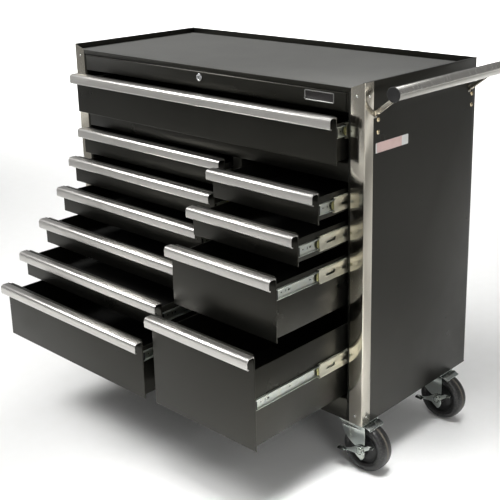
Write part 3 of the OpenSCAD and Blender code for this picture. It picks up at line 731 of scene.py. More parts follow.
# Moulded black polypropylene: a fine spark-eroded grain, 0.8 mm, keeps it matt.
plastic, nodes, spot = new_material("polypropylene_black_moulded")
grit = add(nodes, "TexNoise", {"Vector": spot, "Scale": 1 / 0.0008, "Detail": 2})
blend = add(nodes, "TexNoise", {"Vector": spot, "Scale": 1 / 0.02, "Detail": 3})
hue = add(nodes, "Mix", {0: blend.outputs[0], 6: linear("#0b0b0b"), 7: linear("#131313")},
          data_type="RGBA")
dull = add(nodes, "MapRange", {"Value": blend.outputs[0], "To Min": 0.45, "To Max": 0.65})
grain = add(nodes, "Bump", {"Height": grit.outputs[0], "Strength": 0.2, "Distance": 0.0002})
finish_material(nodes, {"Base Color": hue.outputs[2], "Roughness": dull.outputs[0],
                        "Normal": grain.outputs[0], "IOR": 1.49})

for name in DRAWERS:
    low, high = corners("middle_slides_" + name)
    drawer_low, drawer_high = corners("drawer_" + name)
    height = level(name)
    for side_name, flip in (("left", False), ("right", True)):
        wall = -(high[0] + 3.2) if flip else low[0] - 3.2
        end = f"{name}_{side_name}"
        for part, along, body, slot_name, finish, node in (
                (body_member, SLIDE_FRONT, "cabinet", "zinc_plated_steel", zinc,
                 "cabinet_slide_members"),
                (middle_member, low[1], "middle_slides_" + name, "zinc_plated_steel", zinc_warm,
                 "middle_slides_" + name),
                (retainer, low[1], "middle_slides_" + name, "zinc_plated_steel", cage_metal,
                 "middle_slides_" + name),
                (ball, low[1], "middle_slides_" + name, "zinc_plated_steel", ball_steel,
                 "middle_slides_" + name),
                (drawer_member, drawer_low[1] + 6, "drawer_" + name, "zinc_plated_steel", zinc,
                 "drawer_" + name),
                (bumper, drawer_low[1] + 6, "drawer_" + name, "black_plastic", plastic,
                 "drawer_" + name)):
            made = twin(part, f"{part.name}_{end}", (wall, along, height))
            if flip:
                bpy.ops.object.mode_set(mode="EDIT")
                bpy.ops.transform.mirror(constraint_axis=(True, False, False),
                                         orient_type="GLOBAL", center_override=(0, 0, 0))
                close_edit()
            settle(made, finish)
            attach(made, body)
            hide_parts(node)
for part in (body_member, middle_member, retainer, ball, drawer_member, bumper):
    bpy.data.objects.remove(part)

# ---- Drawers ----------------------------------------------------------------------
# Each drawer is a folded and welded tray of 1 mm steel, its walls hemmed at the top. A
# front with hemmed edges is welded on, doubled between the walls and open at its foot,
# and a ribbed foam sheet lines the tray. They are powder coated with the body.
FRONT_THICK, FRONT_HEM, FRONT_WALL, DRAWER_FLOOR, WALL = 10, 3, 1.2, 5, 1.0
HEM_WIDE, HEM_DEEP, WALL_IN = 3, 7, 10.7

# Black closed-cell foam sheet, skived 1.5 mm thick: ribs 5 mm apart that run from side to
# side, matt, and paler where dust has settled.
liner_foam, nodes, spot = new_material("drawer_liner_foam_ribbed")
dust_and_sheen = add(nodes, "TexNoise", {"Vector": spot, "Scale": 1 / 0.07, "Detail": 5})
rib = add(nodes, "TexWave", {"Vector": spot, "Scale": 1 / 0.016, "Distortion": 0},
          bands_direction="Y")
hue = add(nodes, "Mix", {0: dust_and_sheen.outputs[0], 6: linear("#131312"), 7: linear("#22221f")},
          data_type="RGBA")
ribs = add(nodes, "Bump", {"Height": rib.outputs["Fac"], "Strength": 0.5, "Distance": 0.0006})
finish_material(nodes, {"Base Color": hue.outputs[2], "Roughness": 0.85,
                        "Normal": ribs.outputs[0], "IOR": 1.48, "Specular IOR Level": 0.3})

for name in DRAWERS:
    low, high = corners("drawer_" + name)
    wall_x = (low[0] + WALL_IN, high[0] - WALL_IN)
    wall_back = low[1] + 410
    wall_top = {76: 60, 112: 93, 156: 135, 236: 195}[int(high[2] - low[2] + 0.3)] + low[2]
    leaf = block(f"drawer_front_{name}", low, (high[0], low[1] + FRONT_HEM, high[2]))
    pick("FACE", lambda c, w, f: w.y > 0.9)
    bpy.ops.mesh.inset(thickness=FRONT_WALL * MM)
    push(0, FRONT_WALL - FRONT_HEM, 0)
    pick("EDGE", lambda c, w, e: c.y < low[1] + 0.1)
    bpy.ops.mesh.bevel(offset=2.0 * MM, segments=5, affect="EDGES")
    close_edit()
    soften(leaf, 0.2)
    doubler = block(f"drawer_front_doubler_{name}",
                    (wall_x[0], low[1] + FRONT_WALL, low[2] + DRAWER_FLOOR),
                    (wall_x[1], low[1] + FRONT_THICK, high[2] - 0.1))
    pick("FACE", lambda c, w, f: w.z < -0.9)
    bpy.ops.mesh.inset(thickness=WALL * MM)
    push(0, 0, high[2] - low[2] - DRAWER_FLOOR - 2 * WALL)
    close_edit()
    soften(doubler, 0.6)

    tray = block(f"drawer_tray_{name}", (wall_x[0], low[1] + FRONT_THICK, low[2] + DRAWER_FLOOR),
                 (wall_x[1], wall_back, wall_top))
    pick("FACE", lambda c, w, f: w.z > 0.9)
    bpy.ops.mesh.inset(thickness=HEM_WIDE * MM)
    push(0, 0, -HEM_DEEP)
    bpy.ops.mesh.inset(thickness=-0.01 * MM)
    wide, deep = wall_x[1] - wall_x[0], wall_back - low[1] - FRONT_THICK
    pick("FACE", lambda c, w, f: w.z > 0.9 and c.z < wall_top - HEM_DEEP + 0.5
         and abs(c.x - sum(wall_x) / 2) < 1)
    bpy.ops.transform.resize(
        value=((wide - 2 * WALL) / (wide - 2 * HEM_WIDE), (deep - 2 * WALL) / (deep - 2 * HEM_WIDE), 1),
        center_override=Vector((sum(wall_x) / 2, low[1] + FRONT_THICK + deep / 2, 0)) * MM)
    push(0, 0, -(wall_top - HEM_DEEP - low[2] - DRAWER_FLOOR - WALL))
    pick("EDGE", lambda c, w, e: abs(w.z) > 0.9 and e.calc_length() > 20 * MM)
    bpy.ops.mesh.bevel(offset=0.8 * MM, segments=2, affect="EDGES")
    close_edit()
    soften(tray, 0.45)

    lining = block(f"drawer_liner_{name}",
                   (wall_x[0] + 3, low[1] + FRONT_THICK + 3, low[2] + DRAWER_FLOOR + WALL),
                   (wall_x[1] - 3, wall_back - 3, low[2] + DRAWER_FLOOR + WALL + 1.5))
    pick("FACE", lambda c, w, f: w.z > 0.9)
    bpy.ops.mesh.inset(thickness=2 * MM)
    close_edit()
    soften(lining, 0.5)
    for piece, finish, slot_name in ((leaf, powder_coat, "black_powder_coat"),
                                     (doubler, powder_coat, "black_powder_coat"),
                                     (tray, powder_coat, "black_powder_coat"),
                                     (lining, liner_foam, "grey_mat")):
        settle(piece, finish)
        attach(piece, "drawer_" + name)
        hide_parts("drawer_" + name)

# ---- Pulls ------------------------------------------------------------------------
# Full width pulls of drawn aluminium strip, 1.5 mm thick: a leaf on the drawer's front, a
# flat top, a rounded nose and a lip curled under for the fingers. Screwed from inside.
PULL_OUT, PULL_THICK, NOSE, LIP = 22.5, 1.5, 9, 5


def arc(centre, radius, start, end, steps):
    """Points of an arc in depth and height, by degrees."""
    return [(centre[0] + radius * math.cos(math.radians(start + (end - start) * i / steps)),
             centre[1] + radius * math.sin(math.radians(start + (end - start) * i / steps)))
            for i in range(steps + 1)]


# Brushed and polished aluminium: the brush ran along the pull, leaving lines 0.7 mm
# apart and a soft streaked gloss; handling has dulled it in patches.
brushed, nodes, spot = new_material("aluminium_brushed_lengthwise")
stroke_way = add(nodes, "Mapping", {"Vector": spot, "Scale": (5, 1400, 1400)})
stroke = add(nodes, "TexNoise", {"Vector": stroke_way.outputs[0], "Scale": 1, "Detail": 3})
handled = add(nodes, "TexNoise", {"Vector": spot, "Scale": 1 / 0.1, "Detail": 3})
both = add(nodes, "Math", {0: stroke.outputs[0], 1: handled.outputs[0]}, operation="MULTIPLY")
gloss = add(nodes, "MapRange", {"Value": both.outputs[0], "From Min": 0.1, "From Max": 0.45,
                                "To Min": 0.29, "To Max": 0.37})
hue = add(nodes, "Mix", {0: stroke.outputs[0], 6: linear("#cfccc7"), 7: linear("#dedcd8")},
          data_type="RGBA")
comb = add(nodes, "Bump", {"Height": stroke.outputs[0], "Strength": 0.04, "Distance": 0.0002})
finish_material(nodes, {"Base Color": hue.outputs[2], "Roughness": gloss.outputs[0],
                        "Normal": comb.outputs[0], "Metallic": 1.0})

for name in DRAWERS:
    low, high = corners("pull_" + name)
    nose_middle = (low[1] + NOSE, high[2] - NOSE)
    lip_middle = (low[1] + LIP, low[2] + LIP)
    line = [(high[1], high[2] - 4), (high[1], high[2])]
    line += arc(nose_middle, NOSE, 90, 180, 9) + arc(lip_middle, LIP, 180, 292, 8)
    pull = fold(f"pull_bar_{name}", [(low[0], y, z) for y, z in line],
                (high[0] - low[0], 0, 0), bend=0.9, steps=3)
    thicken(pull, PULL_THICK, cut=0.3)
    settle(pull, brushed)
    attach(pull, "drawer_" + name)
    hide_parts("pull_" + name)

# ---- Lock -------------------------------------------------------------------------
# A cam lock in the middle of the raised face: a chromed housing ring, the plug that the
# key turns, with its slot, and the cam behind the rail. Die cast zinc, chrome plated.
ring = rod("lock_ring", (0, FRONT - PAD_PROUD - 1.5, lock_z), 10, 3, "y", sides=48)
pick("FACE", lambda c, w, f: w.y < -0.9)
bpy.ops.mesh.inset(thickness=1.4 * MM)
bpy.ops.transform.translate(value=(0, -0.6 * MM, 0))
close_edit()
ring_bore = rod("ring_bore", (0, FRONT - PAD_PROUD - 1.5, lock_z), 6.6, 20, "y", sides=48)
close_edit()
cut(ring, ring_bore)
soften(ring, 0.5, steps=3)
plug = rod("lock_barrel", (0, (lock_y + FRONT + 20) / 2, lock_z), 6.5, FRONT + 20 - lock_y, "y", 48)
pick("FACE", lambda c, w, f: w.y < -0.9)
bpy.ops.mesh.inset(thickness=1 * MM)
bpy.ops.mesh.inset(thickness=0.4 * MM, depth=-0.4 * MM)
close_edit()
keyhole = block("keyhole", (-1.1, lock_y - 5, lock_z - 3.6), (1.1, lock_y + 9, lock_z + 3.6))
pick("EDGE", lambda c, w, e: abs(w.y) > 0.9)
bpy.ops.mesh.bevel(offset=0.6 * MM, segments=2, affect="EDGES")
close_edit()
cut(plug, keyhole)
soften(plug, 0.3)
cam = block("lock_cam", (-6, FRONT + 15, plug_low[2]), (6, FRONT + 18, lock_z))
pick("EDGE", lambda c, w, e: abs(w.y) > 0.9 and c.z < lock_z - 5)
bpy.ops.mesh.bevel(offset=4 * MM, segments=5, affect="EDGES")
close_edit()
soften(cam, 0.4)
# Bright chrome plate: a near mirror, with the faint swirl of polishing 6 mm across.
chrome, nodes, spot = new_material("chrome_plate_bright")
swirl = add(nodes, "TexNoise", {"Vector": spot, "Scale": 1 / 0.006, "Detail": 4})
gloss = add(nodes, "MapRange", {"Value": swirl.outputs[0], "To Min": 0.04, "To Max": 0.16})
hue = add(nodes, "Mix", {0: swirl.outputs[0], 6: linear("#e4e6e8"), 7: linear("#d6d6d6")},
          data_type="RGBA")
finish_material(nodes, {"Base Color": hue.outputs[2], "Roughness": gloss.outputs[0],
                        "Metallic": 1.0})
for piece, body in ((ring, "cabinet"), (plug, "lock"), (cam, "lock")):
    settle(piece, chrome if piece is not cam else zinc)
    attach(piece, body)
    if body == "lock":
        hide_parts("lock_plug")

# ---- Badge and side sticker -------------------------------------------------------
# A printed plate stuck to the raised face near its right end, plain but for a border,
# and a small vinyl sticker on the right panel, left blank in two tones.
badge = block("badge_plate", (358.5, FRONT - PAD_PROUD - 0.9, 934.5),
              (447.5, FRONT - PAD_PROUD + 0.2, 959.5))
pick("EDGE", lambda c, w, e: abs(w.y) > 0.9)
bpy.ops.mesh.bevel(offset=4 * MM, segments=5, affect="EDGES")
pick("FACE", lambda c, w, f: w.y < -0.9)
bpy.ops.mesh.inset(thickness=2.2 * MM)
bpy.ops.mesh.inset(thickness=0.3 * MM, depth=-0.4 * MM)
close_edit()
soften(badge, 0.12)
# Satin nickel rim of the badge, and inside it a dark enamel field under clear lacquer.
nickel, nodes, spot = new_material("badge_rim_satin_nickel")
rub = add(nodes, "TexNoise", {"Vector": spot, "Scale": 1 / 0.002, "Detail": 3})
hue = add(nodes, "Mix", {0: rub.outputs[0], 6: linear("#9c9c9a"), 7: linear("#b4b4b0")},
          data_type="RGBA")
dull = add(nodes, "MapRange", {"Value": rub.outputs[0], "To Min": 0.25, "To Max": 0.45})
finish_material(nodes, {"Base Color": hue.outputs[2], "Roughness": dull.outputs[0],
                        "Metallic": 1.0})
enamel, nodes, spot = new_material("badge_enamel_dark")
fleck = add(nodes, "TexNoise", {"Vector": spot, "Scale": 1 / 0.0012, "Detail": 2})
hue = add(nodes, "Mix", {0: fleck.outputs[0], 6: linear("#1c1b1b"), 7: linear("#2c2827")},
          data_type="RGBA")
finish_material(nodes, {"Base Color": hue.outputs[2], "Roughness": 0.2, "IOR": 1.5,
                        "Coat Weight": 0.3, "Coat Roughness": 0.05})
settle(badge, nickel)
badge.data.materials.append(enamel)
bpy.ops.object.mode_set(mode="EDIT")
pick("FACE", lambda c, w, f: w.y < -0.9 and c.y > FRONT - PAD_PROUD - 0.55
     and f.calc_area() > 0.0005)
badge.active_material_index = 1
bpy.ops.object.material_slot_assign()
close_edit()
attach(badge, "cabinet")

STICKER_Y, STICKER_Z = (-192.4, -64.4), (822.5, 846.5)
sticker = block("side_sticker", (RIGHT - 0.1, STICKER_Y[0], STICKER_Z[0]),
                (RIGHT + 0.25, STICKER_Y[1], STICKER_Z[1]))
pick("EDGE", lambda c, w, e: abs(w.x) > 0.9)
bpy.ops.mesh.bevel(offset=2 * MM, segments=4, affect="EDGES")
for edge in (STICKER_Y[0] + 5, STICKER_Y[0] + 102):
    bpy.ops.mesh.select_all(action="SELECT")
    bpy.ops.mesh.bisect(plane_co=(0, edge * MM, 0), plane_no=(0, 1, 0))
close_edit()
# White vinyl with a satin laminate, and its printed pale red panels; both have the faint
# ripple, 9 mm across, of film laid by hand.
for key, tones in (("white", ("#d9d9d6", "#e2e2df")), ("pale_red", ("#d2b3ad", "#dabfba"))):
    vinyl, nodes, spot = new_material("vinyl_sticker_" + key)
    ripple = add(nodes, "TexNoise", {"Vector": spot, "Scale": 1 / 0.009, "Detail": 2})
    hue = add(nodes, "Mix", {0: ripple.outputs[0], 6: linear(tones[0]), 7: linear(tones[1])},
              data_type="RGBA")
    film = add(nodes, "Bump", {"Height": ripple.outputs[0], "Strength": 0.1, "Distance": 0.0003})
    finish_material(nodes, {"Base Color": hue.outputs[2], "Roughness": 0.35,
                            "Normal": film.outputs[0], "IOR": 1.5})
settle(sticker, bpy.data.materials["vinyl_sticker_white"])
sticker.data.materials.append(vinyl)
bpy.ops.object.mode_set(mode="EDIT")
pick("FACE", lambda c, w, f: w.x > 0.9 and STICKER_Y[0] + 5 < c.y < STICKER_Y[0] + 102)
sticker.active_material_index = 1
bpy.ops.object.material_slot_assign()
close_edit()
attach(sticker, "cabinet")

# ---- Push handle ------------------------------------------------------------------
# A stainless tube on two pressed arms that come out through slots in the right panel,
# with moulded caps on its ends. Each arm's plate is held inside by two domed screws.
tube_low, tube_high = corners("handle_tube")
TUBE = (tube_high[0] - tube_low[0]) / 2
axis_x, axis_z = (tube_low[0] + tube_high[0]) / 2, (tube_low[2] + tube_high[2]) / 2
tube = rod("push_tube", (axis_x, (tube_low[1] + tube_high[1]) / 2, axis_z), TUBE,
           tube_high[1] - tube_low[1], "y", sides=64)
pick("FACE", lambda c, w, f: abs(w.y) > 0.9)
bpy.ops.mesh.delete(type="FACE")
close_edit()
thicken(tube, 1.5, cut=0.3)

cap_low, cap_high = corners("handle_end_caps")
CAP, CAP_LIP = (cap_high[0] - cap_low[0]) / 2, 3
cap = rod("end_cap_front", (axis_x, cap_low[1] + CAP_LIP / 2, axis_z), CAP, CAP_LIP, "y", 64)
pick("FACE", lambda c, w, f: w.y < -0.9)
bpy.ops.mesh.inset(thickness=4 * MM)
bpy.ops.mesh.inset(thickness=1 * MM, depth=-0.5 * MM)
pick("FACE", lambda c, w, f: w.y > 0.9)
bpy.ops.mesh.inset(thickness=(CAP - TUBE + 1.55) * MM)
push(0, 12, 0)
close_edit()
soften(cap, 1.0, steps=3, sharp=50)
cap_back = twin(cap, "end_cap_back")
bpy.ops.object.mode_set(mode="EDIT")
bpy.ops.transform.mirror(constraint_axis=(False, True, False), orient_type="GLOBAL",
                         center_override=(0, (cap_low[1] + cap_high[1]) / 2 * MM, 0))
close_edit()

cad_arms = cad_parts["handle_brackets"]
choose(cad_arms)
bpy.ops.object.duplicate()
arms = call("handle_arms")
bpy.ops.mesh.remove_doubles(threshold=0.01 * MM)
bpy.ops.mesh.dissolve_limited(angle_limit=math.radians(1))
close_edit()
arms.parent = None
for key in list(arms.keys()):
    del arms[key]
soften(arms, 0.9, steps=3, sharp=35)

screw_low, screw_high = corners("handle_screws")
screws = []
SCREW_HEAD = 5.5
first_y, last_y = screw_low[1] + SCREW_HEAD, screw_high[1] - SCREW_HEAD
low_z, high_z = screw_low[2] + SCREW_HEAD, screw_high[2] - SCREW_HEAD
bpy.ops.object.select_all(action="DESELECT")
bpy.ops.mesh.primitive_uv_sphere_add(segments=32, ring_count=24, radius=7 * MM,
                                     location=Vector((RIGHT - 4, first_y, low_z)) * MM)
bpy.ops.object.transform_apply(location=True, rotation=True, scale=True)
screw = call("handle_screw")
bpy.ops.mesh.bisect(plane_co=((RIGHT + 0.02) * MM, 0, 0), plane_no=(1, 0, 0), use_fill=True,
                    clear_inner=True)
pick("FACE", lambda c, w, f: w.x < -0.99 and c.x < RIGHT + 0.1)
bpy.ops.mesh.inset(thickness=3.1 * MM)
push(-8, 0, 0)
close_edit()
for wide, tall in ((1.2, 4.6), (4.6, 1.2)):
    recess = block("recess", (RIGHT + 1.2, first_y - wide / 2, low_z - tall / 2),
                   (RIGHT + 6, first_y + wide / 2, low_z + tall / 2))
    close_edit()
    cut(screw, recess)
for y_at, row in ((first_y, "front"), (last_y, "back")):
    for z_at, place in ((low_z, "low"), (high_z, "high")):
        screws.append(twin(screw, f"handle_screw_{row}_{place}", (0, y_at - first_y, z_at - low_z)))
bpy.data.objects.remove(screw)

# Stainless tube, polished round: rings of the polishing belt, 0.6 mm apart, broaden its
# highlights across, and there are small bright rubs.
tube_steel, nodes, spot = new_material("stainless_tube_polished")
belt_way = add(nodes, "Mapping", {"Vector": spot, "Scale": (30, 1600, 30)})
belt = add(nodes, "TexNoise", {"Vector": belt_way.outputs[0], "Scale": 1, "Detail": 3})
gloss = add(nodes, "MapRange", {"Value": belt.outputs[0], "To Min": 0.14, "To Max": 0.34})
hue = add(nodes, "Mix", {0: belt.outputs[0], 6: linear("#c9c6bf"), 7: linear("#d9d7d1")},
          data_type="RGBA")
finish_material(nodes, {"Base Color": hue.outputs[2], "Roughness": gloss.outputs[0],
                        "Metallic": 1.0})
# Yellow passivated zinc on the screws: a brassy film with rainbow drifts 3 mm across.
brassy, nodes, spot = new_material("zinc_plate_yellow_passivated")
drift = add(nodes, "TexNoise", {"Vector": spot, "Scale": 1 / 0.003, "Detail": 2})
hue = add(nodes, "Mix", {0: drift.outputs[0], 6: linear("#cdb98a"), 7: linear("#d8cdb4")},
          data_type="RGBA")
gloss = add(nodes, "MapRange", {"Value": drift.outputs[0], "To Min": 0.18, "To Max": 0.35})
finish_material(nodes, {"Base Color": hue.outputs[2], "Roughness": gloss.outputs[0],
                        "Metallic": 1.0})
for piece, finish, slot_name, node in (
        [(tube, tube_steel, "stainless_steel", "handle_tube"),
         (cap, plastic, "black_plastic", "handle_end_caps"),
         (cap_back, plastic, "black_plastic", "handle_end_caps"),
         (arms, stainless, "stainless_steel", "handle_brackets")]
        + [(made, brassy, "yellow_zinc_screws", "handle_screws") for made in screws]):
    settle(piece, finish)
    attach(piece, "cabinet")
    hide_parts(node)

# ---- Casters ----------------------------------------------------------------------
# Four 5 inch casters: each has a pressed plate under the base pan and a pressed fork.
# The left pair is rigid; on the right a kingpin and a ball race let the fork swivel, and
# a stamped lever on the axle brakes the wheel. Zinc plated steel.
PLATE_X, PLATE_Y, PLATE_THICK = 46, 31.5, 3
WHEEL_R, WHEEL_HALF, AXLE = 63.5, 22.5, 5
LEG_IN, LEG_THICK, TRAIL = 26.5, 3, 36
wheel_z = WHEEL_R
axle_down = FOOT - wheel_z


def outline(name, points, along, cut_edge=0.3):
    """Cuts a plate to an outline and gives it its thickness along a vector."""
    plate = trace(name, points)
    bpy.ops.mesh.select_mode(type="VERT")
    bpy.ops.mesh.select_all(action="SELECT")
    push_close = bmesh.from_edit_mesh(plate.data)
    push_close.verts.ensure_lookup_table()
    bpy.ops.mesh.edge_face_add()
    bpy.ops.mesh.select_all(action="SELECT")
    push(*along)
    bpy.ops.mesh.select_all(action="SELECT")
    bpy.ops.mesh.normals_make_consistent(inside=False)
    close_edit()
    return soften(plate, cut_edge)


# Outline of a fork's leg about its axle, in x and z, seen from the front: round the axle,
# up the straight trailing edge and down a hollow curve on the kingpin's side.
def leg_line(head, reach):
    lower = [(12 * math.cos(math.radians(a)), 12 * math.sin(math.radians(a)))
             for a in range(20, -181, -20)]
    hollow = [(-14, 5), (-20, 9), (-29, 15), (-38, 23), (-46, 33), (-reach + 1, 46)]
    return [(13, head), (13, 30)] + lower + hollow + [(-reach, head)]


plate = block("caster_plate", (-PLATE_X, -PLATE_Y, -PLATE_THICK), (PLATE_X, PLATE_Y, 0))
pick("EDGE", lambda c, w, e: abs(w.z) > 0.9)
bpy.ops.mesh.bevel(offset=6 * MM, segments=5, affect="EDGES")
close_edit()
soften(plate, 0.5)
race = rod("upper_race", (0, 0, -PLATE_THICK - 0.95), 26, 1.9, "z", sides=64)
pick("FACE", lambda c, w, f: abs(w.z) > 0.9)
bpy.ops.mesh.inset(thickness=6 * MM)
close_edit()
soften(race, 0.6, steps=3)
kingpin = rod("kingpin", (0, 0, -PLATE_THICK - 4), 5.95, 8, "z", sides=40)
pick("FACE", lambda c, w, f: w.z < -0.9)
bpy.ops.mesh.inset(thickness=1.5 * MM, depth=0)
bpy.ops.mesh.inset(thickness=0.5 * MM, depth=-0.8 * MM)
close_edit()
pin_head = rod("kingpin_head", (0, 0, -9.35), 9, 3.3, "z", sides=40)
pick("FACE", lambda c, w, f: w.z < -0.9)
bpy.ops.mesh.inset(thickness=4 * MM)
close_edit()
soften(pin_head, 0.8, steps=3)

CROWN_TOP, CROWN_DROP, HALF = -5.0, 13, LEG_IN + LEG_THICK
crown = fold("crown", [
    (-36, -HALF, CROWN_TOP - CROWN_DROP), (-36, -HALF, CROWN_TOP), (-36, HALF, CROWN_TOP),
    (-36, HALF, CROWN_TOP - CROWN_DROP)][::-1], (84, 0, 0), bend=4.5, steps=5)
bpy.ops.object.mode_set(mode="EDIT")
pick("VERT", lambda c, w, v: c.x < -30 and c.z < CROWN_TOP - CROWN_DROP + 1)
bpy.ops.transform.translate(value=(14 * MM, 0, 3 * MM))
close_edit()
thicken(crown, 2.5, cut=0.5)
pin_bore = rod("pin_bore", (0, 0, CROWN_TOP), 6.05, 14, "z", sides=48)
close_edit()
cut(crown, pin_bore)
skirt = fold("skirt", [
    (46, -HALF + 1, CROWN_TOP), (52, -HALF + 1, CROWN_TOP), (64.6, -HALF + 1, CROWN_TOP - 6),
    (64.9, -HALF + 1, CROWN_TOP - 9)], (0, 2 * HALF - 2, 0), bend=2, steps=4)
bpy.ops.object.mode_set(mode="EDIT")
for y_at in (-16, -6, 6, 16):
    bpy.ops.mesh.select_all(action="SELECT")
    bpy.ops.mesh.bisect(plane_co=(0, y_at * MM, 0), plane_no=(0, 1, 0))
pick("VERT", lambda c, w, v: abs(c.y) < 7 and c.x > 52)
bpy.ops.transform.translate(value=(0, 0, 1.6 * MM))
close_edit()
thicken(skirt, 2, cut=0.4)

# The trailing edge of each leg is turned in as a narrow flange.
legs = []
CREASE, FLANGE_AT, FLANGE_IN = -12, 10.6, 3.2
flange_foot = 28 - axle_down
for y_sign, mark in ((-1, "near"), (1, "far")):
    leg_top = axle_down + CROWN_TOP - CROWN_DROP + 0.5
    points = [(x + TRAIL, y_sign * LEG_IN, z - axle_down) for x, z in leg_line(leg_top, 53)]
    leg = outline(f"leg_{mark}", points, (0, y_sign * LEG_THICK, 0), cut_edge=0.05)
    bpy.ops.object.mode_set(mode="EDIT")
    bpy.ops.mesh.select_all(action="SELECT")
    bpy.ops.mesh.bisect(plane_co=((TRAIL + CREASE) * MM, 0, 0), plane_no=(1, 0, 0))
    pick("VERT", lambda c, w, v: c.x < TRAIL + CREASE - 0.1)
    mesh = bmesh.from_edit_mesh(leg.data)
    for vert in mesh.verts:
        if vert.select:
            vert.co.y += y_sign * (TRAIL + CREASE - vert.co.x / MM) * 0.11 * MM
    bmesh.update_edit_mesh(leg.data)
    bpy.ops.mesh.select_all(action="SELECT")
    bpy.ops.mesh.bisect(plane_co=((TRAIL + FLANGE_AT) * MM, 0, 0), plane_no=(1, 0, 0))
    bpy.ops.mesh.select_all(action="SELECT")
    bpy.ops.mesh.bisect(plane_co=(0, 0, flange_foot * MM), plane_no=(0, 0, 1))
    pick("FACE", lambda c, w, f: w.y * y_sign < -0.9 and c.x > TRAIL + FLANGE_AT
         and c.z > flange_foot)
    push(0, -y_sign * FLANGE_IN, 0)
    close_edit()
    soften(leg, 0.45, steps=2, sharp=50)
    legs.append(leg)

bolt = rod("axle_bolt", (TRAIL, 0, -axle_down), AXLE - 0.05, 2 * HALF + 10, "y", sides=32)
close_edit()
soften(bolt, 0.6)
nuts = []
for y_sign, long, mark in ((-1, 4, "near"), (1, 5, "far")):
    seat = -HALF - 4 if y_sign < 0 else HALF
    nut = rod(f"axle_nut_{mark}", (TRAIL, seat + y_sign * long / 2, -axle_down), 8, long, "y", 6)
    pick("FACE", lambda c, w, f: w.y * y_sign > 0.9)
    bpy.ops.mesh.inset(thickness=1.6 * MM)
    bpy.ops.transform.translate(value=(0, y_sign * 0.4 * MM, 0))
    close_edit()
    soften(nut, 0.5)
    nuts.append(nut)

lever_points = [(14, 2), (22, 8), (30, 14), (37, 19), (35, 24.5), (26, 22), (15, 16), (6, 14.2),
                (-2, 14), (-9, 11), (-17, 5.5), (-28, -1.5), (-40, -6.5), (-50, -9), (-50, -15),
                (-38, -14.5), (-26, -12.5), (-16, -13), (-8, -19), (3, -26.5), (8, -23.5),
                (12.5, -17), (15, -8)]
lever = outline("brake_plate", [(x + TRAIL, -HALF - 0.5, z - axle_down) for x, z in lever_points],
                (0, -3, 0), cut_edge=0.6)
lever_bore = rod("lever_bore", (TRAIL, -HALF, -axle_down), 5.1, 30, "y", sides=32)
close_edit()
cut(lever, lever_bore)
press = fold("brake_pad_press", [
    (TRAIL - 44, -HALF + 2.4, -axle_down - 11.5), (TRAIL - 44, -HALF - 9, -axle_down - 11.5),
    (TRAIL - 44, -HALF - 13, -axle_down - 14.6)][::-1], (-21.5, 0, 1.2), bend=2, steps=3)
thicken(press, 2.6, cut=0.7)
release = fold("brake_pad_release", [
    (TRAIL + 33, -HALF - 0.5, -axle_down + 22), (TRAIL + 33, -HALF - 8, -axle_down + 22),
    (TRAIL + 33, -HALF - 11, -axle_down + 20)], (11, 0, 3.4), bend=1.5, steps=3)
thicken(release, 2.4, cut=0.7)
washer = rod("lever_hub", (TRAIL, -HALF - 5.2, -axle_down), 12, 3.8, "y", sides=48)
close_edit()
hub_bore = rod("hub_bore", (TRAIL, -HALF, -axle_down), 9, 30, "y", sides=48)
close_edit()
cut(washer, hub_bore)
soften(washer, 0.8, steps=3)

# Wheel: a tread of grey-black rubber moulded round a black polypropylene core, spun from
# its half section. A mould line stands proud round the middle of the tread.
tyre_line = [(44, 0, -14), (44.5, 0, -19.5), (47, 0, -21), (50, 0, -22.2), (53, 0, -22.5),
             (57, 0, -21.4), (60.2, 0, -18.6), (62.2, 0, -14.4), (63, 0, -9), (63.25, 0, -3),
             (63.3, 0, -1.1), (63.5, 0, -0.6), (63.5, 0, 0.6), (63.3, 0, 1.1), (63.25, 0, 3),
             (63, 0, 9), (62.2, 0, 14.4), (60.2, 0, 18.6), (57, 0, 21.4), (53, 0, 22.5),
             (50, 0, 22.2), (47, 0, 21), (44.5, 0, 19.5), (44, 0, 14)]
core_line = [(5.1, 0, -25), (12.5, 0, -25), (14, 0, -23.5), (15.5, 0, -14), (17, 0, -12.6),
             (31, 0, -9.5), (33, 0, -9.5), (40, 0, -12.5), (42.5, 0, -18), (44.4, 0, -18.6),
             (44.4, 0, 18.6), (42.5, 0, 18), (40, 0, 12.5), (33, 0, 9.5), (31, 0, 9.5),
             (17, 0, 12.6), (15.5, 0, 14), (14, 0, 23.5), (12.5, 0, 25), (5.1, 0, 25)]
rounds = []
for name, line in (("tyre", tyre_line), ("core", core_line)):
    path = [(x, z, 0) for x, _, z in line]
    spun = trace(name, path + [path[0]])
    bpy.ops.mesh.spin(steps=72, angle=2 * math.pi, center=(0, 0, 0), axis=(0, 1, 0))
    bpy.ops.mesh.select_all(action="SELECT")
    bpy.ops.mesh.remove_doubles(threshold=0.02 * MM)
    bpy.ops.mesh.normals_make_consistent(inside=False)
    bpy.ops.transform.translate(value=(TRAIL * MM, 0, -axle_down * MM))
    close_edit()
    rounds.append(spun)

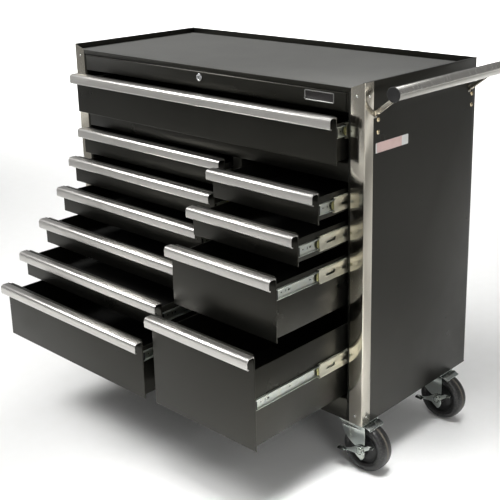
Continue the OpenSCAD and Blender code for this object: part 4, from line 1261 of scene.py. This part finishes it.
# Bright zinc plate on thicker pressings: bluish, with straw drifts 18 mm across, and
# milled dull where the strip met the rolls.
zinc_press, nodes, spot = new_material("zinc_plate_pressed_steel")
drift = add(nodes, "TexNoise", {"Vector": spot, "Scale": 1 / 0.018, "Detail": 3})
mill = add(nodes, "TexNoise", {"Vector": spot, "Scale": 1 / 0.0015, "Detail": 2})
hue = add(nodes, "Mix", {0: drift.outputs[0], 6: linear("#aab6b8"), 7: linear("#bdbdb2")},
          data_type="RGBA")
dull = add(nodes, "MapRange", {"Value": drift.outputs[0], "From Min": 0.3, "From Max": 0.7,
                               "To Min": 0.15, "To Max": 0.3})
pitted = add(nodes, "Bump", {"Height": mill.outputs[0], "Strength": 0.1, "Distance": 0.0002})
finish_material(nodes, {"Base Color": hue.outputs[2], "Roughness": dull.outputs[0],
                        "Normal": pitted.outputs[0], "Metallic": 1.0})
# Moulded thermoplastic rubber: near black with a bluish bloom, and scuffs 4 mm long.
rubber, nodes, spot = new_material("caster_tread_rubber")
bloom = add(nodes, "TexNoise", {"Vector": spot, "Scale": 1 / 0.03, "Detail": 4})
scuff = add(nodes, "TexNoise", {"Vector": spot, "Scale": 1 / 0.004, "Detail": 3})
mark = add(nodes, "MapRange", {"Value": scuff.outputs[0], "From Min": 0.45, "From Max": 0.7})
hue = add(nodes, "Mix", {0: bloom.outputs[0], 6: linear("#101012"), 7: linear("#18181b")},
          data_type="RGBA")
worn = add(nodes, "Mix", {0: mark.outputs[0], 6: hue.outputs[2], 7: linear("#35342f")},
           data_type="RGBA")
dull = add(nodes, "MapRange", {"Value": scuff.outputs[0], "To Min": 0.3, "To Max": 0.46})
skin = add(nodes, "Bump", {"Height": scuff.outputs[0], "Strength": 0.15, "Distance": 0.0003})
finish_material(nodes, {"Base Color": worn.outputs[2], "Roughness": dull.outputs[0],
                        "Normal": skin.outputs[0], "IOR": 1.52})
# The same rubber along the mould line, where it runs on the floor: worn matt. Its
# lighter, browner band is a painted highlight along the tread's crown, with wear and dust,
# in patches 3 mm across.
wear_and_highlight_rubber, nodes, spot = new_material("caster_tread_rubber_worn")
dust_and_sheen = add(nodes, "TexNoise", {"Vector": spot, "Scale": 1 / 0.003, "Detail": 3})
hue = add(nodes, "Mix", {0: dust_and_sheen.outputs[0], 6: linear("#3f3b35"), 7: linear("#6a645a")},
          data_type="RGBA")
skin = add(nodes, "Bump", {"Height": dust_and_sheen.outputs[0], "Strength": 0.2, "Distance": 0.0003})
finish_material(nodes, {"Base Color": hue.outputs[2], "Roughness": 0.7,
                        "Normal": skin.outputs[0], "IOR": 1.52})

# Half width of the band round the tread's middle that is painted lighter: a painted highlight with
# wear.
WEAR_AND_HIGHLIGHT_HALF = 3.1
caster_places = (("front", corners("wheel_right_front")), ("rear", corners("wheel_right_rear")))
shared = {"fork": [crown, skirt] + legs + [bolt] + nuts,
          "brake": [lever, press, release, washer], "plates": [race, kingpin, pin_head]}
for row, (low, high) in caster_places:
    axle_x, axle_y = (low[0] + high[0]) / 2, (low[1] + high[1]) / 2
    for side_name, pin_x in (("right", axle_x - TRAIL), ("left", -(axle_x - TRAIL))):
        there = (pin_x, axle_y, FOOT)
        moves = [(plate, "cabinet", zinc_press,
                  "swivel_caster_plates" if side_name == "right" else "rigid_caster_forks",
                  there)]
        wheel_name = f"wheel_{side_name}_{row}"
        wheel_shift = there if side_name == "right" else (pin_x - TRAIL, axle_y, FOOT)
        moves += [(rounds[0], wheel_name, rubber, wheel_name, wheel_shift),
                  (rounds[1], wheel_name, plastic, wheel_name, wheel_shift)]
        if side_name == "right":
            moves += [(part, "cabinet", zinc_press, "swivel_caster_plates", there)
                      for part in shared["plates"]]
            moves += [(part, f"fork_{row}", zinc_press, f"swivel_fork_{row}", there)
                      for part in shared["fork"]]
            moves += [(part, f"brake_{row}", zinc_press, f"brake_lever_{row}", there)
                      for part in shared["brake"]]
        else:
            moves += [(part, "cabinet", zinc_press, "rigid_caster_forks",
                       (pin_x - TRAIL, axle_y, FOOT)) for part in legs + [bolt] + nuts]
        for part, body, finish, node, shift in moves:
            made = twin(part, f"{part.name}_{side_name}_{row}", shift)
            settle(made, finish)
            # The band round the middle of the tread gets the lighter rubber: a painted highlight with
            # wear and dust.
            if finish is rubber:
                made.data.materials.append(wear_and_highlight_rubber)
                bpy.ops.object.mode_set(mode="EDIT")
                pick("FACE", lambda c, w, f: abs(c.y - axle_y) < WEAR_AND_HIGHLIGHT_HALF)
                made.active_material_index = 1
                bpy.ops.object.material_slot_assign()
                close_edit()
            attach(made, body)
            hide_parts(node)
for part in [plate] + rounds + shared["plates"] + shared["fork"] + shared["brake"]:
    bpy.data.objects.remove(part)
